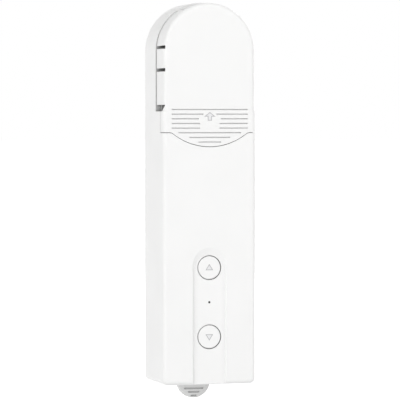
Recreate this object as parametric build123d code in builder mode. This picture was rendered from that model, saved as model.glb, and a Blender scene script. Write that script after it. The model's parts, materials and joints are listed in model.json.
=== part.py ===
"""Battery roller shade motor: a wall-mounted drive for a beaded shade chain.

Millimetres, +Z up, +X to the right as the user faces it. The room's wall is the plane Y = 0 and
the front looks along -Y. The origin is the middle of the wall bracket's two screw slots.
"""

import math
import os

from build123d import *

os.makedirs("parts", exist_ok=True)

# How far a cut runs past the face it opens, and how deep a boss or rib sinks into its wall
CUT = 1.0
ROOT = 0.5

# Housing, outside
BODY_WIDTH = 48.0
BODY_DEPTH = 35.0
SIDE_HEIGHT = 166.0
BOTTOM = -95.0
DOME_Z = BOTTOM + SIDE_HEIGHT
WALL_GAP = 0.4
WALL = 2.0
CORNER_RADIUS = 2.6
FRONT_EDGE_RADIUS = 2.2
REAR_EDGE = 1.0

# Top cover and the lines where it meets the housing
COVER_DEPTH = 14.0
COVER_INSET = 0.5
COVER_WALL = 1.8
COVER_GAP = 0.3
COVER_SEAM = DOME_Z - 40.6
SMILE_HALF = 19.7
SMILE_DROP = 7.0
SMILE_BLEND = 3.0
FLANGE_DEPTH = 5.0
SIDE_OPENING_BOTTOM = DOME_Z - 30.2
SIDE_OPENING_TOP = DOME_Z - 27.0
SIDE_SKIN = 0.6
RELIEF_SLOT_HEIGHT = 1.6
RELIEF_SLOTS = (DOME_Z - 9.7, DOME_Z + 1.5)
CHAIN_SLOT_GAP = 0.4
CHAIN_SLOT_FRONT = 5.0
GRIP_TOP = DOME_Z - 29.3
GRIP_PITCH = 2.3
GRIP_WIDTH = 0.5
GRIP_DEPTH = 0.6
GRIP_HALVES = (19.6, 19.6, 19.6, 19.6, 19.6, 16.2, 10.5, 5.9)
GRIP_CLEAR_HALVES = (0.0, 3.4, 5.7, 5.1, 5.1, 0.0, 0.0, 0.0)
BAY_GAP = 0.5
BAY_WALL = 1.6
BAY_BOTTOM = DOME_Z - 52.0
BAY_WINDOW_DEPTH = 8.0
REAR_ROOM_BOTTOM = DOME_Z - 66.0
SHELF = 1.3
TONGUE_DEPTH = 0.8
TONGUE_WIDTH = 1.4
TONGUE_GAP = 0.3
TONGUE_FROM_SEAM = 5.1
SNAP_POST_THICKNESS = 1.6
SNAP_POST_DEPTH = 4.0
SNAP_POST_MARGIN = 2.0

# Button channel and buttons
CHANNEL_HALF = 8.9
CHANNEL_DEPTH = 0.9
CHANNEL_SLOPE = 0.9
CHANNEL_RAMP = 3.4
CHANNEL_TOP = BOTTOM + 68.2
CHANNEL_WALL = 1.6
CHANNEL_PAD_MARGIN = 2.0
UP_BUTTON_Z = BOTTOM + 58.2
DOWN_BUTTON_Z = BOTTOM + 23.8
BUTTON_RADIUS = 5.8
BUTTON_GAP = 0.35
BUTTON_CHAMFER = 0.3
BUTTON_COLLAR = 1.1
BUTTON_COLLAR_THICKNESS = 1.0
BUTTON_COLLAR_GAP = 0.2
BUTTON_STEM_RADIUS = 1.6
BUTTON_PLAY = 0.45
LED_Z = BOTTOM + 41.0
LED_RADIUS = 0.55

# Rear panel and wall bracket
PANEL_REAR = -5.0
PANEL_THICKNESS = 2.0
PANEL_CLEARANCE = 0.2
BRACKET_HALF_HEIGHT = 60.0
BRACKET_THICKNESS = 3.2
FOOT_THICKNESS = 1.8
FOOT_HALF = 11.0
FLANGE_HALF = 14.0
GUIDE_CLEARANCE = 0.3
GUIDE_WALL = 2.0
LIP_THICKNESS = 1.0
LIFT_RANGE = 30.0
STOP_GAP = 0.2
STOP_HEIGHT = 2.0
GUIDE_RIB_BOTTOM = BOTTOM + 26.0
GUIDE_RIB_MARGIN = 2.0
SLOT_HALF_SPACING = 50.0
SLOT_WIDTH = 4.4
SLOT_LENGTH = 8.0
SLOT_HEAD_RADIUS = 4.2
SLOT_HEAD_DEPTH = 1.4
FLANGE_CHAMFER = 1.5
FOOT_GAP = 0.6
RACK_HALF = 4.0
RACK_PITCH = 2.0
RACK_TOOTH = 0.9

# Release lever and its spring
LEVER_PIVOT_Z = BOTTOM + 20.0
LEVER_Y = -6.0
LEVER_PIN_RADIUS = 0.9
LEVER_PIN_HALF = 12.0
LEVER_BARREL_RADIUS = 1.5
LEVER_THICKNESS = 1.4
LEVER_HALF = 8.0
TAB_RADIUS = 8.7
TAB_CENTRE_Z = BOTTOM - 0.6
TAB_FRONT = -6.6
TAB_REAR = -3.8
TAB_GRIP_TOP = BOTTOM - 4.3
TAB_GRIP_PITCH = 1.95
TAB_GRIP_WIDTH = 0.6
TAB_GRIP_DEPTH = 0.4
TAB_GRIPS = 3
LEVER_GAP = 0.4
TAB_ROOM = 1.6
FINGER_HALF = 2.6
FINGER_TOP = BOTTOM + 50.0
LEAF_THICKNESS = 0.4
LEAF_HALF = 3.0
LEAF_TOP = BOTTOM + 80.0
LEAF_SEAT = 9.0
LEAF_BOTTOM = BOTTOM + 47.0
BUMP_Z = BOTTOM + 58.0
BUMP_HALF = 3.0
BUMP_TIP_Y = -3.75

# Chain sprocket and its shaft
CHAIN_BALL = 4.5
CHAIN_PITCH = 6.0
CHAIN_POCKETS = 10
POCKET_CLEARANCE = 0.15
SPROCKET_WIDTH = 7.4
SPROCKET_FLANGE = 0.9
SPROCKET_RISE = 2.3
RIM_BELOW_PITCH = 0.8
CHEEK_SLOPE = 0.3
SPROCKET_FROM_SEAM = 0.8
GUIDE_GAP = 1.1
GUIDE_THICKNESS = 1.3
GUIDE_LEG = 10.0
GUIDE_PROUD = 1.2
GUIDE_EAR_OUT = 2.65
GUIDE_EAR_RISE = 4.6
GUIDE_EAR_RADIUS = 2.6
GUIDE_EAR_THICKNESS = 2.0
SHELF_GAP = 0.1
SHAFT_RADIUS = 2.5
SHAFT_FLAT = 0.5
RUNNING_CLEARANCE = 0.03
SEAT_CLEARANCE = 0.02
BUSH_RADIUS = 4.5
BUSH_FLANGE_RADIUS = 5.5
BUSH_FLANGE = 0.6
BUSH_BOSS_WALL = 2.0
REAR_BUSH_FLOOR = 1.2
END_FLOAT = 0.2
END_SCREW_RADIUS = 1.25
END_SCREW_LENGTH = 6.0
END_SCREW_HEAD_RADIUS = 3.4
END_SCREW_HEAD = 1.4

# Crown gear and pinion
MODULE = 1.0
PRESSURE_ANGLE = 20.0
ADDENDUM = 0.9
DEDENDUM = 1.2
TOOTH_THINNING = 0.3
TOOTH_SINK = 0.9
CROWN_FACE = 3.0
CROWN_PLATE = 2.0
CROWN_RIM = 0.2
PINION_HEADROOM = 0.5
PINION_TEETH = 12
PINION_HUB_RADIUS = 4.2
PINION_HUB_LENGTH = 2.2
CROWN_HUB_RADIUS = 5.0
OUTPUT_FLAT = 0.5

# Gearbox and motor
GEARBOX_RADIUS = 11.0
GEARBOX_GAP = 0.3
GEARBOX_LENGTH = 28.0
GEARBOX_WALL = 1.6
GEARBOX_BOSS_RADIUS = 5.0
GEARBOX_BOSS_LENGTH = 2.0
GEARBOX_FACE = 3.0
GEARBOX_FLOOR = 1.5
GEARBOX_SCREW_X = 7.6
OUTPUT_RADIUS = 2.0
CARRIER_RADIUS = 8.6
CARRIER_THICKNESS = 2.5
PLATE_THICKNESS = 1.4
PLATE_CLEARANCE = 0.25
PLATE_CORNER = 1.5
LEDGE_THICKNESS = 1.2
LEDGE_WIDTH = 2.2
MOTOR_RADIUS = 12.0
MOTOR_LENGTH = 29.0
MOTOR_CAN = 0.8
CAN_END = 1.0
END_CAP = 3.0
END_CAP_SPIGOT = 1.5
ROTOR_SHAFT_RADIUS = 1.0
ROTOR_SHAFT_REACH = 8.0
ROTOR_GAP = 0.3
ARMATURE_RADIUS = 8.6
ARMATURE_LENGTH = 17.0
ARMATURE_FROM_END = 8.0
MAGNET_THICKNESS = 1.6
MAGNET_GLUE = 0.1
ENCODER_RADIUS = 4.0
ENCODER_LENGTH = 2.2
ENCODER_GAP = 0.5
ENCODER_POST_X = 8.0
ENCODER_POST_RADIUS = 0.8
ENCODER_SENSOR_GAP = 0.8
ENCODER_SENSOR_HALF = 2.0
ENCODER_SENSOR_DEPTH = 1.5
ENCODER_SENSOR_HEIGHT = 0.8
ENCODER_BOARD_HALF_X = 10.0
ENCODER_BOARD_HALF_Y = 5.0
ENCODER_BOARD_THICKNESS = 1.0
ENCODER_BOARD_CORNER = 1.5
MAGNET_GAP_HALF = 4.0
COMMUTATOR_RADIUS = 3.0
COMMUTATOR_GAP = 2.0
ROTOR_POLES = 3
ROTOR_SLOT_DEPTH = 4.0
ROTOR_SLOT_WIDTH = 1.6

# Batteries and circuit board
CELL_RADIUS = 9.2
CELL_LENGTH = 65.0
CELL_BOTTOM = BOTTOM + 10.4
CELL_SPINE = 0.8
CELL_BOARD_GAP = 0.4
CELL_EDGE = 0.6
CELL_NUB = 1.0
CELL_NUB_RADIUS = 3.0
CONTACT_THICKNESS = 0.6
HOLDER_END = 1.4
HOLDER_RAIL = 1.4
HOLDER_RAIL_HALF = 3.0
HOLDER_SPINE_HALF = 5.0
HOLDER_GAP = 0.15
HOLDER_SETBACK = 1.4
CONTACT_HALF = 4.0
BOARD_REAR = -26.6
BOARD_THICKNESS = 1.6
BOARD_HALF = 16.5
BOARD_BOTTOM = BOTTOM + 3.4
BOARD_TOP = BOTTOM + 80.0
INLET_WIDTH = 9.0
INLET_HEIGHT = 3.2
INLET_LENGTH = 7.4
INLET_WALL = 0.4
INLET_RECESS = 0.5
INLET_GAP = 0.3
INLET_BACK = 1.0
INLET_TONGUE_HALF = 3.3
INLET_TONGUE_THICKNESS = 0.7
SWITCH_SIZE = 6.0
SWITCH_HEIGHT = 1.6
SWITCH_PLUNGER = 0.3
PLUNGER_RADIUS = 1.7
LAMP_WIDTH = 1.6
LAMP_HEIGHT = 0.8
LAMP_THICKNESS = 0.7
GUIDE_COLLAR = 0.7
GUIDE_COLLAR_THICKNESS = 0.8
GUIDE_RECESS = 0.4
BOARD_POST_X = 14.5
BOARD_POST_ZS = (BOTTOM + 9.0, BOTTOM + 76.0)
BOARD_POST_RADIUS = 2.0
RADIO_HALF = 8.0
RADIO_HEIGHT = 9.0
RADIO_BOARD = 0.8
RADIO_MARGIN = 0.7
RADIO_AERIAL = 3.5
SHIELD = 1.8
CONNECTOR_X = (11.6, 15.8)
CONNECTOR_Z = (BOTTOM + 60.0, BOTTOM + 69.0)
CONNECTOR_DEPTH = 4.0
BOARD_SCREW_LENGTH = 5.0
BOARD_SCREW_HEAD = 1.0

# Screws
SCREW_RADIUS = 1.0
SCREW_HEAD_RADIUS = 1.9
SCREW_HEAD = 1.2
SCREW_LENGTH = 6.0
SCREW_SLACK = 0.1
BLIND_WALL = 0.2
BOSS_RADIUS = 2.4
PANEL_SCREW_INSET = 4.7
PANEL_SCREW_ZS = (BOTTOM + 5.0, DOME_Z - 30.0)

# Places worked out from the sizes above
FRONT = -BODY_DEPTH
HALF_WIDTH = BODY_WIDTH / 2
SEAM_Y = FRONT + COVER_DEPTH
FRONT_INSIDE = FRONT + WALL
PANEL_FRONT = PANEL_REAR - PANEL_THICKNESS
PANEL_SCREW_X = HALF_WIDTH - PANEL_SCREW_INSET
COVER_HALF = HALF_WIDTH - COVER_INSET
COVER_INNER_HALF = COVER_HALF - COVER_WALL
BAY_HALF = COVER_INNER_HALF - BAY_GAP
BAY_FRONT = FRONT_INSIDE + COVER_GAP * 2
DRIVE_Y = BAY_FRONT + BAY_WALL + GEARBOX_GAP + GEARBOX_RADIUS
PINION_RADIUS = MODULE * PINION_TEETH / 2
CROWN_PITCH_Y = DRIVE_Y + PINION_RADIUS
CROWN_BACK = CROWN_PITCH_Y + DEDENDUM + CROWN_PLATE
SPROCKET_REAR = SEAM_Y - SPROCKET_FROM_SEAM
SPROCKET_Y = SPROCKET_REAR - SPROCKET_WIDTH / 2
SPROCKET_FRONT = SPROCKET_REAR - SPROCKET_WIDTH
PITCH_RADIUS = CHAIN_PITCH / 2 / math.sin(math.pi / CHAIN_POCKETS)
SPROCKET_RADIUS = PITCH_RADIUS + SPROCKET_RISE
CHAIN_SLOT_HALF = PITCH_RADIUS + CHAIN_BALL / 2 + CHAIN_SLOT_GAP
GUIDE_RADIUS = PITCH_RADIUS + CHAIN_BALL / 2 + GUIDE_GAP
GUIDE_EAR_X = GUIDE_RADIUS + GUIDE_THICKNESS + GUIDE_EAR_OUT
GUIDE_EAR_Z = DOME_Z + GUIDE_EAR_RISE
SHELF_TOP = DOME_Z - GUIDE_RADIUS - GUIDE_THICKNESS - SHELF_GAP
PINION_REACH = DOME_Z - SHELF_TOP + SHELF + PINION_HEADROOM + CROWN_FACE / 2
CROWN_TEETH = math.ceil(PINION_REACH * 2 / MODULE)
CROWN_RADIUS = MODULE * CROWN_TEETH / 2
PINION_Z = DOME_Z - CROWN_RADIUS
PINION_TOP = PINION_Z + CROWN_FACE / 2
PINION_HUB_BOTTOM = PINION_Z - CROWN_FACE / 2 - PINION_HUB_LENGTH
GEARBOX_TOP = PINION_HUB_BOTTOM - END_FLOAT - GEARBOX_BOSS_LENGTH
GEARBOX_BOTTOM = GEARBOX_TOP - GEARBOX_LENGTH
PLATE_BOTTOM = GEARBOX_TOP
MOTOR_BOTTOM = GEARBOX_BOTTOM - MOTOR_LENGTH
ARMATURE_BOTTOM = MOTOR_BOTTOM + ARMATURE_FROM_END
ENCODER_MAGNET_BOTTOM = MOTOR_BOTTOM - ENCODER_GAP - ENCODER_LENGTH
ENCODER_BOARD_TOP = ENCODER_MAGNET_BOTTOM - ENCODER_SENSOR_GAP - ENCODER_SENSOR_HEIGHT
CELL_TOP = CELL_BOTTOM + CELL_LENGTH
CELL_SPACING = CELL_RADIUS * 2 + CELL_SPINE
CELL_Y = BOARD_REAR + CELL_BOARD_GAP + CELL_RADIUS
PARTITION_REAR = SEAM_Y + WALL
FRONT_BUSH_REAR = PARTITION_REAR + BUSH_FLANGE
REAR_BUSH_FRONT = CROWN_BACK + END_FLOAT
REAR_BUSH_REAR = PANEL_REAR - REAR_BUSH_FLOOR
BUTTON_PAD = FRONT + CHANNEL_DEPTH + CHANNEL_WALL
BOARD_SCREW_Z = {-1: BOARD_POST_ZS[0], 1: BOARD_POST_ZS[1]}
BUTTON_FACE = FRONT + CHANNEL_DEPTH


def depth_plane(y):
    """Upright sketch plane at depth y, seen from the front: sketches grow forward from it."""
    return Plane.XZ.offset(-y)


def block(x_span, y_span, z_span, mode=Mode.ADD):
    """A box between two X, two Y and two Z values."""
    spans = (x_span, y_span, z_span)
    centre = [(low + high) / 2 for low, high in spans]
    with Locations(tuple(centre)):
        Box(*[high - low for low, high in spans], mode=mode)


def rod(radius, x, y_span, z, mode=Mode.ADD):
    """A round rod that runs from front to rear."""
    with Locations(Location((x, sum(y_span) / 2, z), (90, 0, 0))):
        Cylinder(radius, abs(y_span[1] - y_span[0]), mode=mode)


def post(radius, x, y, z_span, mode=Mode.ADD):
    """A round post that stands upright."""
    with Locations((x, y, sum(z_span) / 2)):
        Cylinder(radius, z_span[1] - z_span[0], mode=mode)


def dome_prism(half, base, y_rear, y_front, mode=Mode.ADD):
    """A slab with a straight foot and a half-round head, between two depths."""
    with BuildSketch(depth_plane(y_rear)) as outline:
        with BuildLine():
            Polyline((half, DOME_Z), (half, base), (-half, base), (-half, DOME_Z))
            ThreePointArc((-half, DOME_Z), (0, DOME_Z + half), (half, DOME_Z))
        make_face()
    extrude(outline.sketch, amount=y_rear - y_front, mode=mode)


def seam_region(gap, y_rear, y_front, mode):
    """All that lies above the cover's lower edge, with its round tongue, lowered by a gap."""
    seam, top, side = COVER_SEAM - gap, DOME_Z + BODY_WIDTH, BODY_WIDTH
    with BuildSketch(depth_plane(y_rear)) as region:
        with BuildLine():
            ThreePointArc((-SMILE_HALF, seam), (0, seam - SMILE_DROP), (SMILE_HALF, seam))
            Polyline((SMILE_HALF, seam), (side, seam), (side, top), (-side, top), (-side, seam),
                     (-SMILE_HALF, seam))
        make_face()
        ends = region.vertices().filter_by(lambda v: abs(abs(v.X) - SMILE_HALF) < 0.1)
        fillet(ends, SMILE_BLEND)
    extrude(region.sketch, amount=y_rear - y_front, mode=mode)


def involute_angle(radius, base_radius):
    """Angle swept by an involute between its base circle and a radius."""
    pressure = math.acos(base_radius / radius)
    return math.tan(pressure) - pressure


def gear_profile(teeth, module, addendum, dedendum, thinning, clocking=0.0):
    """Outline of an external gear in the current sketch: each flank is an arc along its involute."""
    pitch = module * teeth / 2
    base = pitch * math.cos(math.radians(PRESSURE_ANGLE))
    tip, root = pitch + addendum, pitch - dedendum
    thickness = math.pi * module / 2 - thinning
    at_base = thickness / 2 / pitch + involute_angle(pitch, base)
    flank_radii = (base, (base + tip) / 2, tip)
    start = min(root, base)
    Circle(root)
    with BuildSketch(Plane.XY, mode=Mode.PRIVATE) as tooth:
        with BuildLine():
            sides = []
            for side in (1, -1):
                angles = [side * (at_base - involute_angle(r, base)) for r in flank_radii]
                points = [Vector(r * math.cos(a), r * math.sin(a))
                          for r, a in zip(flank_radii, angles)]
                foot = Vector(start * math.cos(side * at_base), start * math.sin(side * at_base))
                foot = foot * TOOTH_SINK
                Line(foot, points[0])
                ThreePointArc(*points)
                sides.append((foot, points[-1]))
            ThreePointArc(sides[0][1], (tip, 0), sides[1][1])
            Line(sides[0][0], sides[1][0])
        make_face()
    with PolarLocations(0, teeth, start_angle=clocking):
        add(tooth.sketch)


# Main housing: one moulding with the front face, the sides and the rear half of the dome
with BuildPart() as main_housing:
    dome_prism(HALF_WIDTH, BOTTOM, -WALL_GAP, FRONT)
    foot_edges = main_housing.edges().filter_by(Axis.Y).group_by(Axis.Z)[0]
    fillet(foot_edges, CORNER_RADIUS)
    fillet(main_housing.faces().sort_by(Axis.Y)[0].edges(), FRONT_EDGE_RADIUS)
    chamfer(main_housing.faces().sort_by(Axis.Y)[-1].edges(), REAR_EDGE)
    # Room for the cover
    seam_region(COVER_GAP, FRONT + FLANGE_DEPTH + COVER_GAP, FRONT - CUT, Mode.SUBTRACT)
    block((-BODY_WIDTH, BODY_WIDTH), (FRONT - CUT, SEAM_Y),
          (SIDE_OPENING_BOTTOM, DOME_Z + BODY_WIDTH), Mode.SUBTRACT)
    # Bay for the gearbox behind the cover, with its shelf
    block((-BAY_HALF, BAY_HALF), (BAY_FRONT, SEAM_Y + CUT), (BAY_BOTTOM, SHELF_TOP))
    # Hollow inside: battery and motor room, gearbox bay, and the room behind the chain chamber
    inner_half = HALF_WIDTH - WALL
    block((-inner_half, inner_half), (FRONT_INSIDE, 0),
          (BOTTOM + WALL, COVER_SEAM - SMILE_DROP - COVER_GAP - WALL), Mode.SUBTRACT)
    bay_inner = BAY_HALF - BAY_WALL
    block((-bay_inner, bay_inner), (BAY_FRONT + BAY_WALL, 0),
          (REAR_ROOM_BOTTOM, SHELF_TOP - SHELF), Mode.SUBTRACT)
    dome_prism(inner_half, REAR_ROOM_BOTTOM, 0, PARTITION_REAR, Mode.SUBTRACT)
    # Pad that thickens the wall behind the button channel
    pad_half = CHANNEL_HALF + CHANNEL_PAD_MARGIN
    block((-pad_half, pad_half), (FRONT_INSIDE - ROOT, BUTTON_PAD),
          (BOTTOM + WALL - ROOT, CHANNEL_TOP + CHANNEL_PAD_MARGIN))
    # Button channel with sloped sides and a long ramp at its round top, open at the bottom
    channel_end = BOTTOM - CHANNEL_HALF * 2
    for y, half, top in ((FRONT, CHANNEL_HALF, CHANNEL_TOP),
                         (BUTTON_FACE, CHANNEL_HALF - CHANNEL_SLOPE, CHANNEL_TOP - CHANNEL_RAMP)):
        with BuildSketch(depth_plane(y)):
            with Locations((0, (top + channel_end) / 2)):
                SlotOverall(top - channel_end, half * 2, rotation=90)
    loft(ruled=True, mode=Mode.SUBTRACT)
    for button_z in (UP_BUTTON_Z, DOWN_BUTTON_Z):
        rod(BUTTON_RADIUS + BUTTON_GAP, 0, (FRONT - CUT, BUTTON_PAD + CUT), button_z, Mode.SUBTRACT)
    rod(LED_RADIUS + SEAT_CLEARANCE, 0, (FRONT - CUT, BUTTON_PAD + CUT), LED_Z, Mode.SUBTRACT)
    # Partition hole for the front bush
    rod(BUSH_RADIUS + SEAT_CLEARANCE, 0, (SEAM_Y - CUT, PARTITION_REAR + CUT), DOME_Z, Mode.SUBTRACT)
    # Posts that the cover's snap arms grip
    for side in (-1, 1):
        post_span = sorted((side * (BAY_HALF - SNAP_POST_THICKNESS), side * BAY_HALF))
        block(post_span, (SEAM_Y - SNAP_POST_DEPTH, SEAM_Y + ROOT),
              (RELIEF_SLOTS[0] + SNAP_POST_MARGIN, RELIEF_SLOTS[1] - SNAP_POST_MARGIN))
        # Grooves beside the bay that guide the cover's tongues
        groove_span = sorted((side * (BAY_HALF - TONGUE_DEPTH - TONGUE_GAP), side * (BAY_HALF + CUT)))
        groove_rear = SEAM_Y - TONGUE_FROM_SEAM + TONGUE_GAP
        block(groove_span, (groove_rear - TONGUE_WIDTH - TONGUE_GAP * 2, groove_rear),
              (SIDE_OPENING_TOP - CUT, SHELF_TOP + CUT), Mode.SUBTRACT)
        # Window in the bay wall behind the side opening
        window_front = BAY_FRONT + BAY_WALL + ROOT
        block(sorted((side * (bay_inner - CUT), side * (BAY_HALF + CUT))),
              (window_front, window_front + BAY_WINDOW_DEPTH), (SIDE_OPENING_BOTTOM, SIDE_OPENING_TOP),
              Mode.SUBTRACT)
        # Slots in the bay walls that hold the motor plate
        ledge_span = sorted((side * (bay_inner - LEDGE_WIDTH), side * (bay_inner + ROOT)))
        for ledge_z in (PLATE_BOTTOM - PLATE_CLEARANCE - LEDGE_THICKNESS,
                        PLATE_BOTTOM + PLATE_THICKNESS + PLATE_CLEARANCE):
            block(ledge_span, (BAY_FRONT + BAY_WALL - ROOT, PARTITION_REAR),
                  (ledge_z, ledge_z + LEDGE_THICKNESS))
        # Bosses for the rear panel's screws
        for screw_z in PANEL_SCREW_ZS:
            boss_front = (FRONT_INSIDE if screw_z < BAY_BOTTOM else PARTITION_REAR) - ROOT
            rod(BOSS_RADIUS, side * PANEL_SCREW_X, (boss_front, PANEL_FRONT), screw_z)
            rod(SCREW_RADIUS, side * PANEL_SCREW_X, (PANEL_FRONT - SCREW_LENGTH, PANEL_FRONT + CUT),
                screw_z, Mode.SUBTRACT)
        # Posts for the circuit board, of which one at each end takes a screw
        for post_z in BOARD_POST_ZS:
            rod(BOARD_POST_RADIUS, side * BOARD_POST_X,
                (FRONT_INSIDE - ROOT, BOARD_REAR - BOARD_THICKNESS), post_z)
        rod(SCREW_RADIUS, side * BOARD_POST_X, (FRONT_INSIDE + SCREW_SLACK, BOARD_REAR),
            BOARD_SCREW_Z[side], Mode.SUBTRACT)
        # Holes for the chain guide's screws
        rod(SCREW_RADIUS, side * GUIDE_EAR_X, (SEAM_Y - CUT, PARTITION_REAR + CUT), GUIDE_EAR_Z,
            Mode.SUBTRACT)
    # Open foot for the release tab and the bracket, and the charging inlet's hole
    foot_cut = (BOTTOM - CUT, BOTTOM + WALL + CUT)
    block((-TAB_RADIUS - FOOT_GAP, TAB_RADIUS + FOOT_GAP), (TAB_FRONT - TAB_ROOM, 0), foot_cut,
          Mode.SUBTRACT)
    block((-FLANGE_HALF - FOOT_GAP, FLANGE_HALF + FOOT_GAP), (PANEL_REAR, 0), foot_cut, Mode.SUBTRACT)
    inlet_y = BOARD_REAR + INLET_HEIGHT / 2
    with BuildSketch(Plane.XY.offset(BOTTOM - CUT)):
        with Locations((0, inlet_y)):
            SlotOverall(INLET_WIDTH + INLET_GAP * 2, INLET_HEIGHT + INLET_GAP * 2)
    extrude(amount=WALL + CUT * 2, mode=Mode.SUBTRACT)
main_housing.part.label = "main_housing"
export_step(main_housing.part, "parts/main_housing.step")

# Top cover: slides up off the housing, with grip lines and a slot for the chain in its crown
with BuildPart() as cover_head:
    dome_prism(COVER_HALF, SIDE_OPENING_BOTTOM, SEAM_Y - COVER_GAP, FRONT)
    fillet(cover_head.faces().sort_by(Axis.Y)[0].edges().sort_by(Axis.Z)[1:], FRONT_EDGE_RADIUS)

with BuildPart() as top_cover:
    dome_prism(HALF_WIDTH, BOTTOM, FRONT + FLANGE_DEPTH, FRONT)
    fillet(top_cover.faces().sort_by(Axis.Y)[0].edges(), FRONT_EDGE_RADIUS)
    block((-BODY_WIDTH, BODY_WIDTH), (FRONT - CUT, 0), (SIDE_OPENING_BOTTOM, DOME_Z + BODY_WIDTH),
          Mode.SUBTRACT)
    seam_region(0, 0, FRONT - CUT, Mode.INTERSECT)
    add(cover_head.part)
    dome_prism(COVER_INNER_HALF, BOTTOM, 0, FRONT_INSIDE, Mode.SUBTRACT)
    for side in (-1, 1):
        wall_span = sorted((side * COVER_INNER_HALF, side * BODY_WIDTH))
        slit_front = FRONT + SIDE_SKIN
        # Side opening with its round lower corner
        with BuildSketch(Plane.YZ.offset(wall_span[0])) as side_opening:
            with BuildLine():
                corner = (FRONT + FLANGE_DEPTH, SIDE_OPENING_BOTTOM)
                rise, run = SIDE_OPENING_TOP - SIDE_OPENING_BOTTOM, corner[0] - slit_front
                Polyline((slit_front, SIDE_OPENING_TOP), (0, SIDE_OPENING_TOP), (0, BOTTOM),
                         (corner[0], BOTTOM), corner)
                RadiusArc(corner, (slit_front, SIDE_OPENING_TOP), (rise ** 2 + run ** 2) / rise / 2)
            make_face()
        extrude(side_opening.sketch, amount=wall_span[1] - wall_span[0], mode=Mode.SUBTRACT)
        # Relief slots either side of the snap arm, cut through the wall where it starts to curve in
        slot_span = sorted((side * (COVER_INNER_HALF - CUT), side * BODY_WIDTH))
        for slot_z in RELIEF_SLOTS:
            block(slot_span, (slit_front, 0),
                  (slot_z - RELIEF_SLOT_HEIGHT / 2, slot_z + RELIEF_SLOT_HEIGHT / 2), Mode.SUBTRACT)
        # Tongue that runs in the housing's groove
        tongue_span = sorted((side * (BAY_HALF - TONGUE_DEPTH), side * (COVER_INNER_HALF + ROOT)))
        tongue_rear = SEAM_Y - TONGUE_FROM_SEAM
        block(tongue_span, (tongue_rear - TONGUE_WIDTH, tongue_rear),
              (SIDE_OPENING_TOP, RELIEF_SLOTS[0] - RELIEF_SLOT_HEIGHT))
    block((-CHAIN_SLOT_HALF, CHAIN_SLOT_HALF), (FRONT + CHAIN_SLOT_FRONT, 0),
          (DOME_Z + SPROCKET_RADIUS, DOME_Z + BODY_WIDTH), Mode.SUBTRACT)
    for line, (half, clear) in enumerate(zip(GRIP_HALVES, GRIP_CLEAR_HALVES)):
        line_z = GRIP_TOP - line * GRIP_PITCH
        groove = (line_z - GRIP_WIDTH / 2, line_z + GRIP_WIDTH / 2)
        for side in (-1, 1):
            block(sorted((side * clear, side * half)), (FRONT - CUT, FRONT + GRIP_DEPTH), groove,
                  Mode.SUBTRACT)
top_cover.part.label = "top_cover"
export_step(top_cover.part, "parts/top_cover.step")

# Rear panel: closes the housing and carries the guides that run on the wall bracket
with BuildPart() as rear_panel:
    dome_prism(HALF_WIDTH - WALL - PANEL_CLEARANCE, BOTTOM + WALL + PANEL_CLEARANCE, PANEL_REAR,
               PANEL_FRONT)
    panel_cut = (PANEL_FRONT - CUT, PANEL_REAR + CUT)
    guide_inner = FLANGE_HALF + GUIDE_CLEARANCE
    guide_rear = -FOOT_THICKNESS + GUIDE_CLEARANCE + LIP_THICKNESS
    rib_heights = (GUIDE_RIB_BOTTOM, BRACKET_HALF_HEIGHT - GUIDE_RIB_MARGIN)
    for side in (-1, 1):
        block(sorted((side * guide_inner, side * (guide_inner + GUIDE_WALL))),
              (PANEL_REAR, guide_rear), rib_heights)
        block(sorted((side * (FOOT_HALF + GUIDE_CLEARANCE), side * (guide_inner + GUIDE_WALL))),
              (guide_rear - LIP_THICKNESS, guide_rear), rib_heights)
        for screw_z in PANEL_SCREW_ZS:
            rod(SCREW_RADIUS + SCREW_SLACK, side * PANEL_SCREW_X, panel_cut, screw_z, Mode.SUBTRACT)
    # Stop that comes down on the bracket's top end
    block((-FOOT_HALF, FOOT_HALF), (PANEL_REAR, guide_rear),
          (BRACKET_HALF_HEIGHT + STOP_GAP, BRACKET_HALF_HEIGHT + STOP_GAP + STOP_HEIGHT))
    # Windows for the release lever and the leaf spring
    block((-LEVER_HALF - LEVER_GAP, LEVER_HALF + LEVER_GAP), panel_cut,
          (BOTTOM, LEVER_PIVOT_Z + LEVER_BARREL_RADIUS + LEVER_GAP), Mode.SUBTRACT)
    block((-LEAF_HALF - LEVER_GAP, LEAF_HALF + LEVER_GAP), panel_cut,
          (LEVER_PIVOT_Z, LEAF_TOP - LEAF_SEAT), Mode.SUBTRACT)
    # Open grooves for the lever's pin
    pin_groove = LEVER_PIN_RADIUS + RUNNING_CLEARANCE
    pin_groove_half = LEVER_PIN_HALF + SCREW_SLACK
    with Locations(Location((0, LEVER_Y, LEVER_PIVOT_Z), (0, 90, 0))):
        Cylinder(pin_groove, pin_groove_half * 2, mode=Mode.SUBTRACT)
    block((-pin_groove_half, pin_groove_half), (LEVER_Y, PANEL_REAR + CUT),
          (LEVER_PIVOT_Z - pin_groove, LEVER_PIVOT_Z + pin_groove), Mode.SUBTRACT)
    # Boss and blind seat for the rear bush, and the leaf spring's screw hole
    rod(BUSH_RADIUS + BUSH_BOSS_WALL, 0, (REAR_BUSH_FRONT, PANEL_FRONT + ROOT), DOME_Z)
    rod(BUSH_RADIUS + SEAT_CLEARANCE, 0, (REAR_BUSH_FRONT - CUT, REAR_BUSH_REAR), DOME_Z, Mode.SUBTRACT)
    rod(SCREW_RADIUS, 0, (PANEL_FRONT - CUT, PANEL_REAR - BLIND_WALL), LEAF_TOP - LEAF_SEAT / 2,
        Mode.SUBTRACT)
rear_panel.part.label = "rear_panel"
export_step(rear_panel.part, "parts/rear_panel.step")

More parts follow.
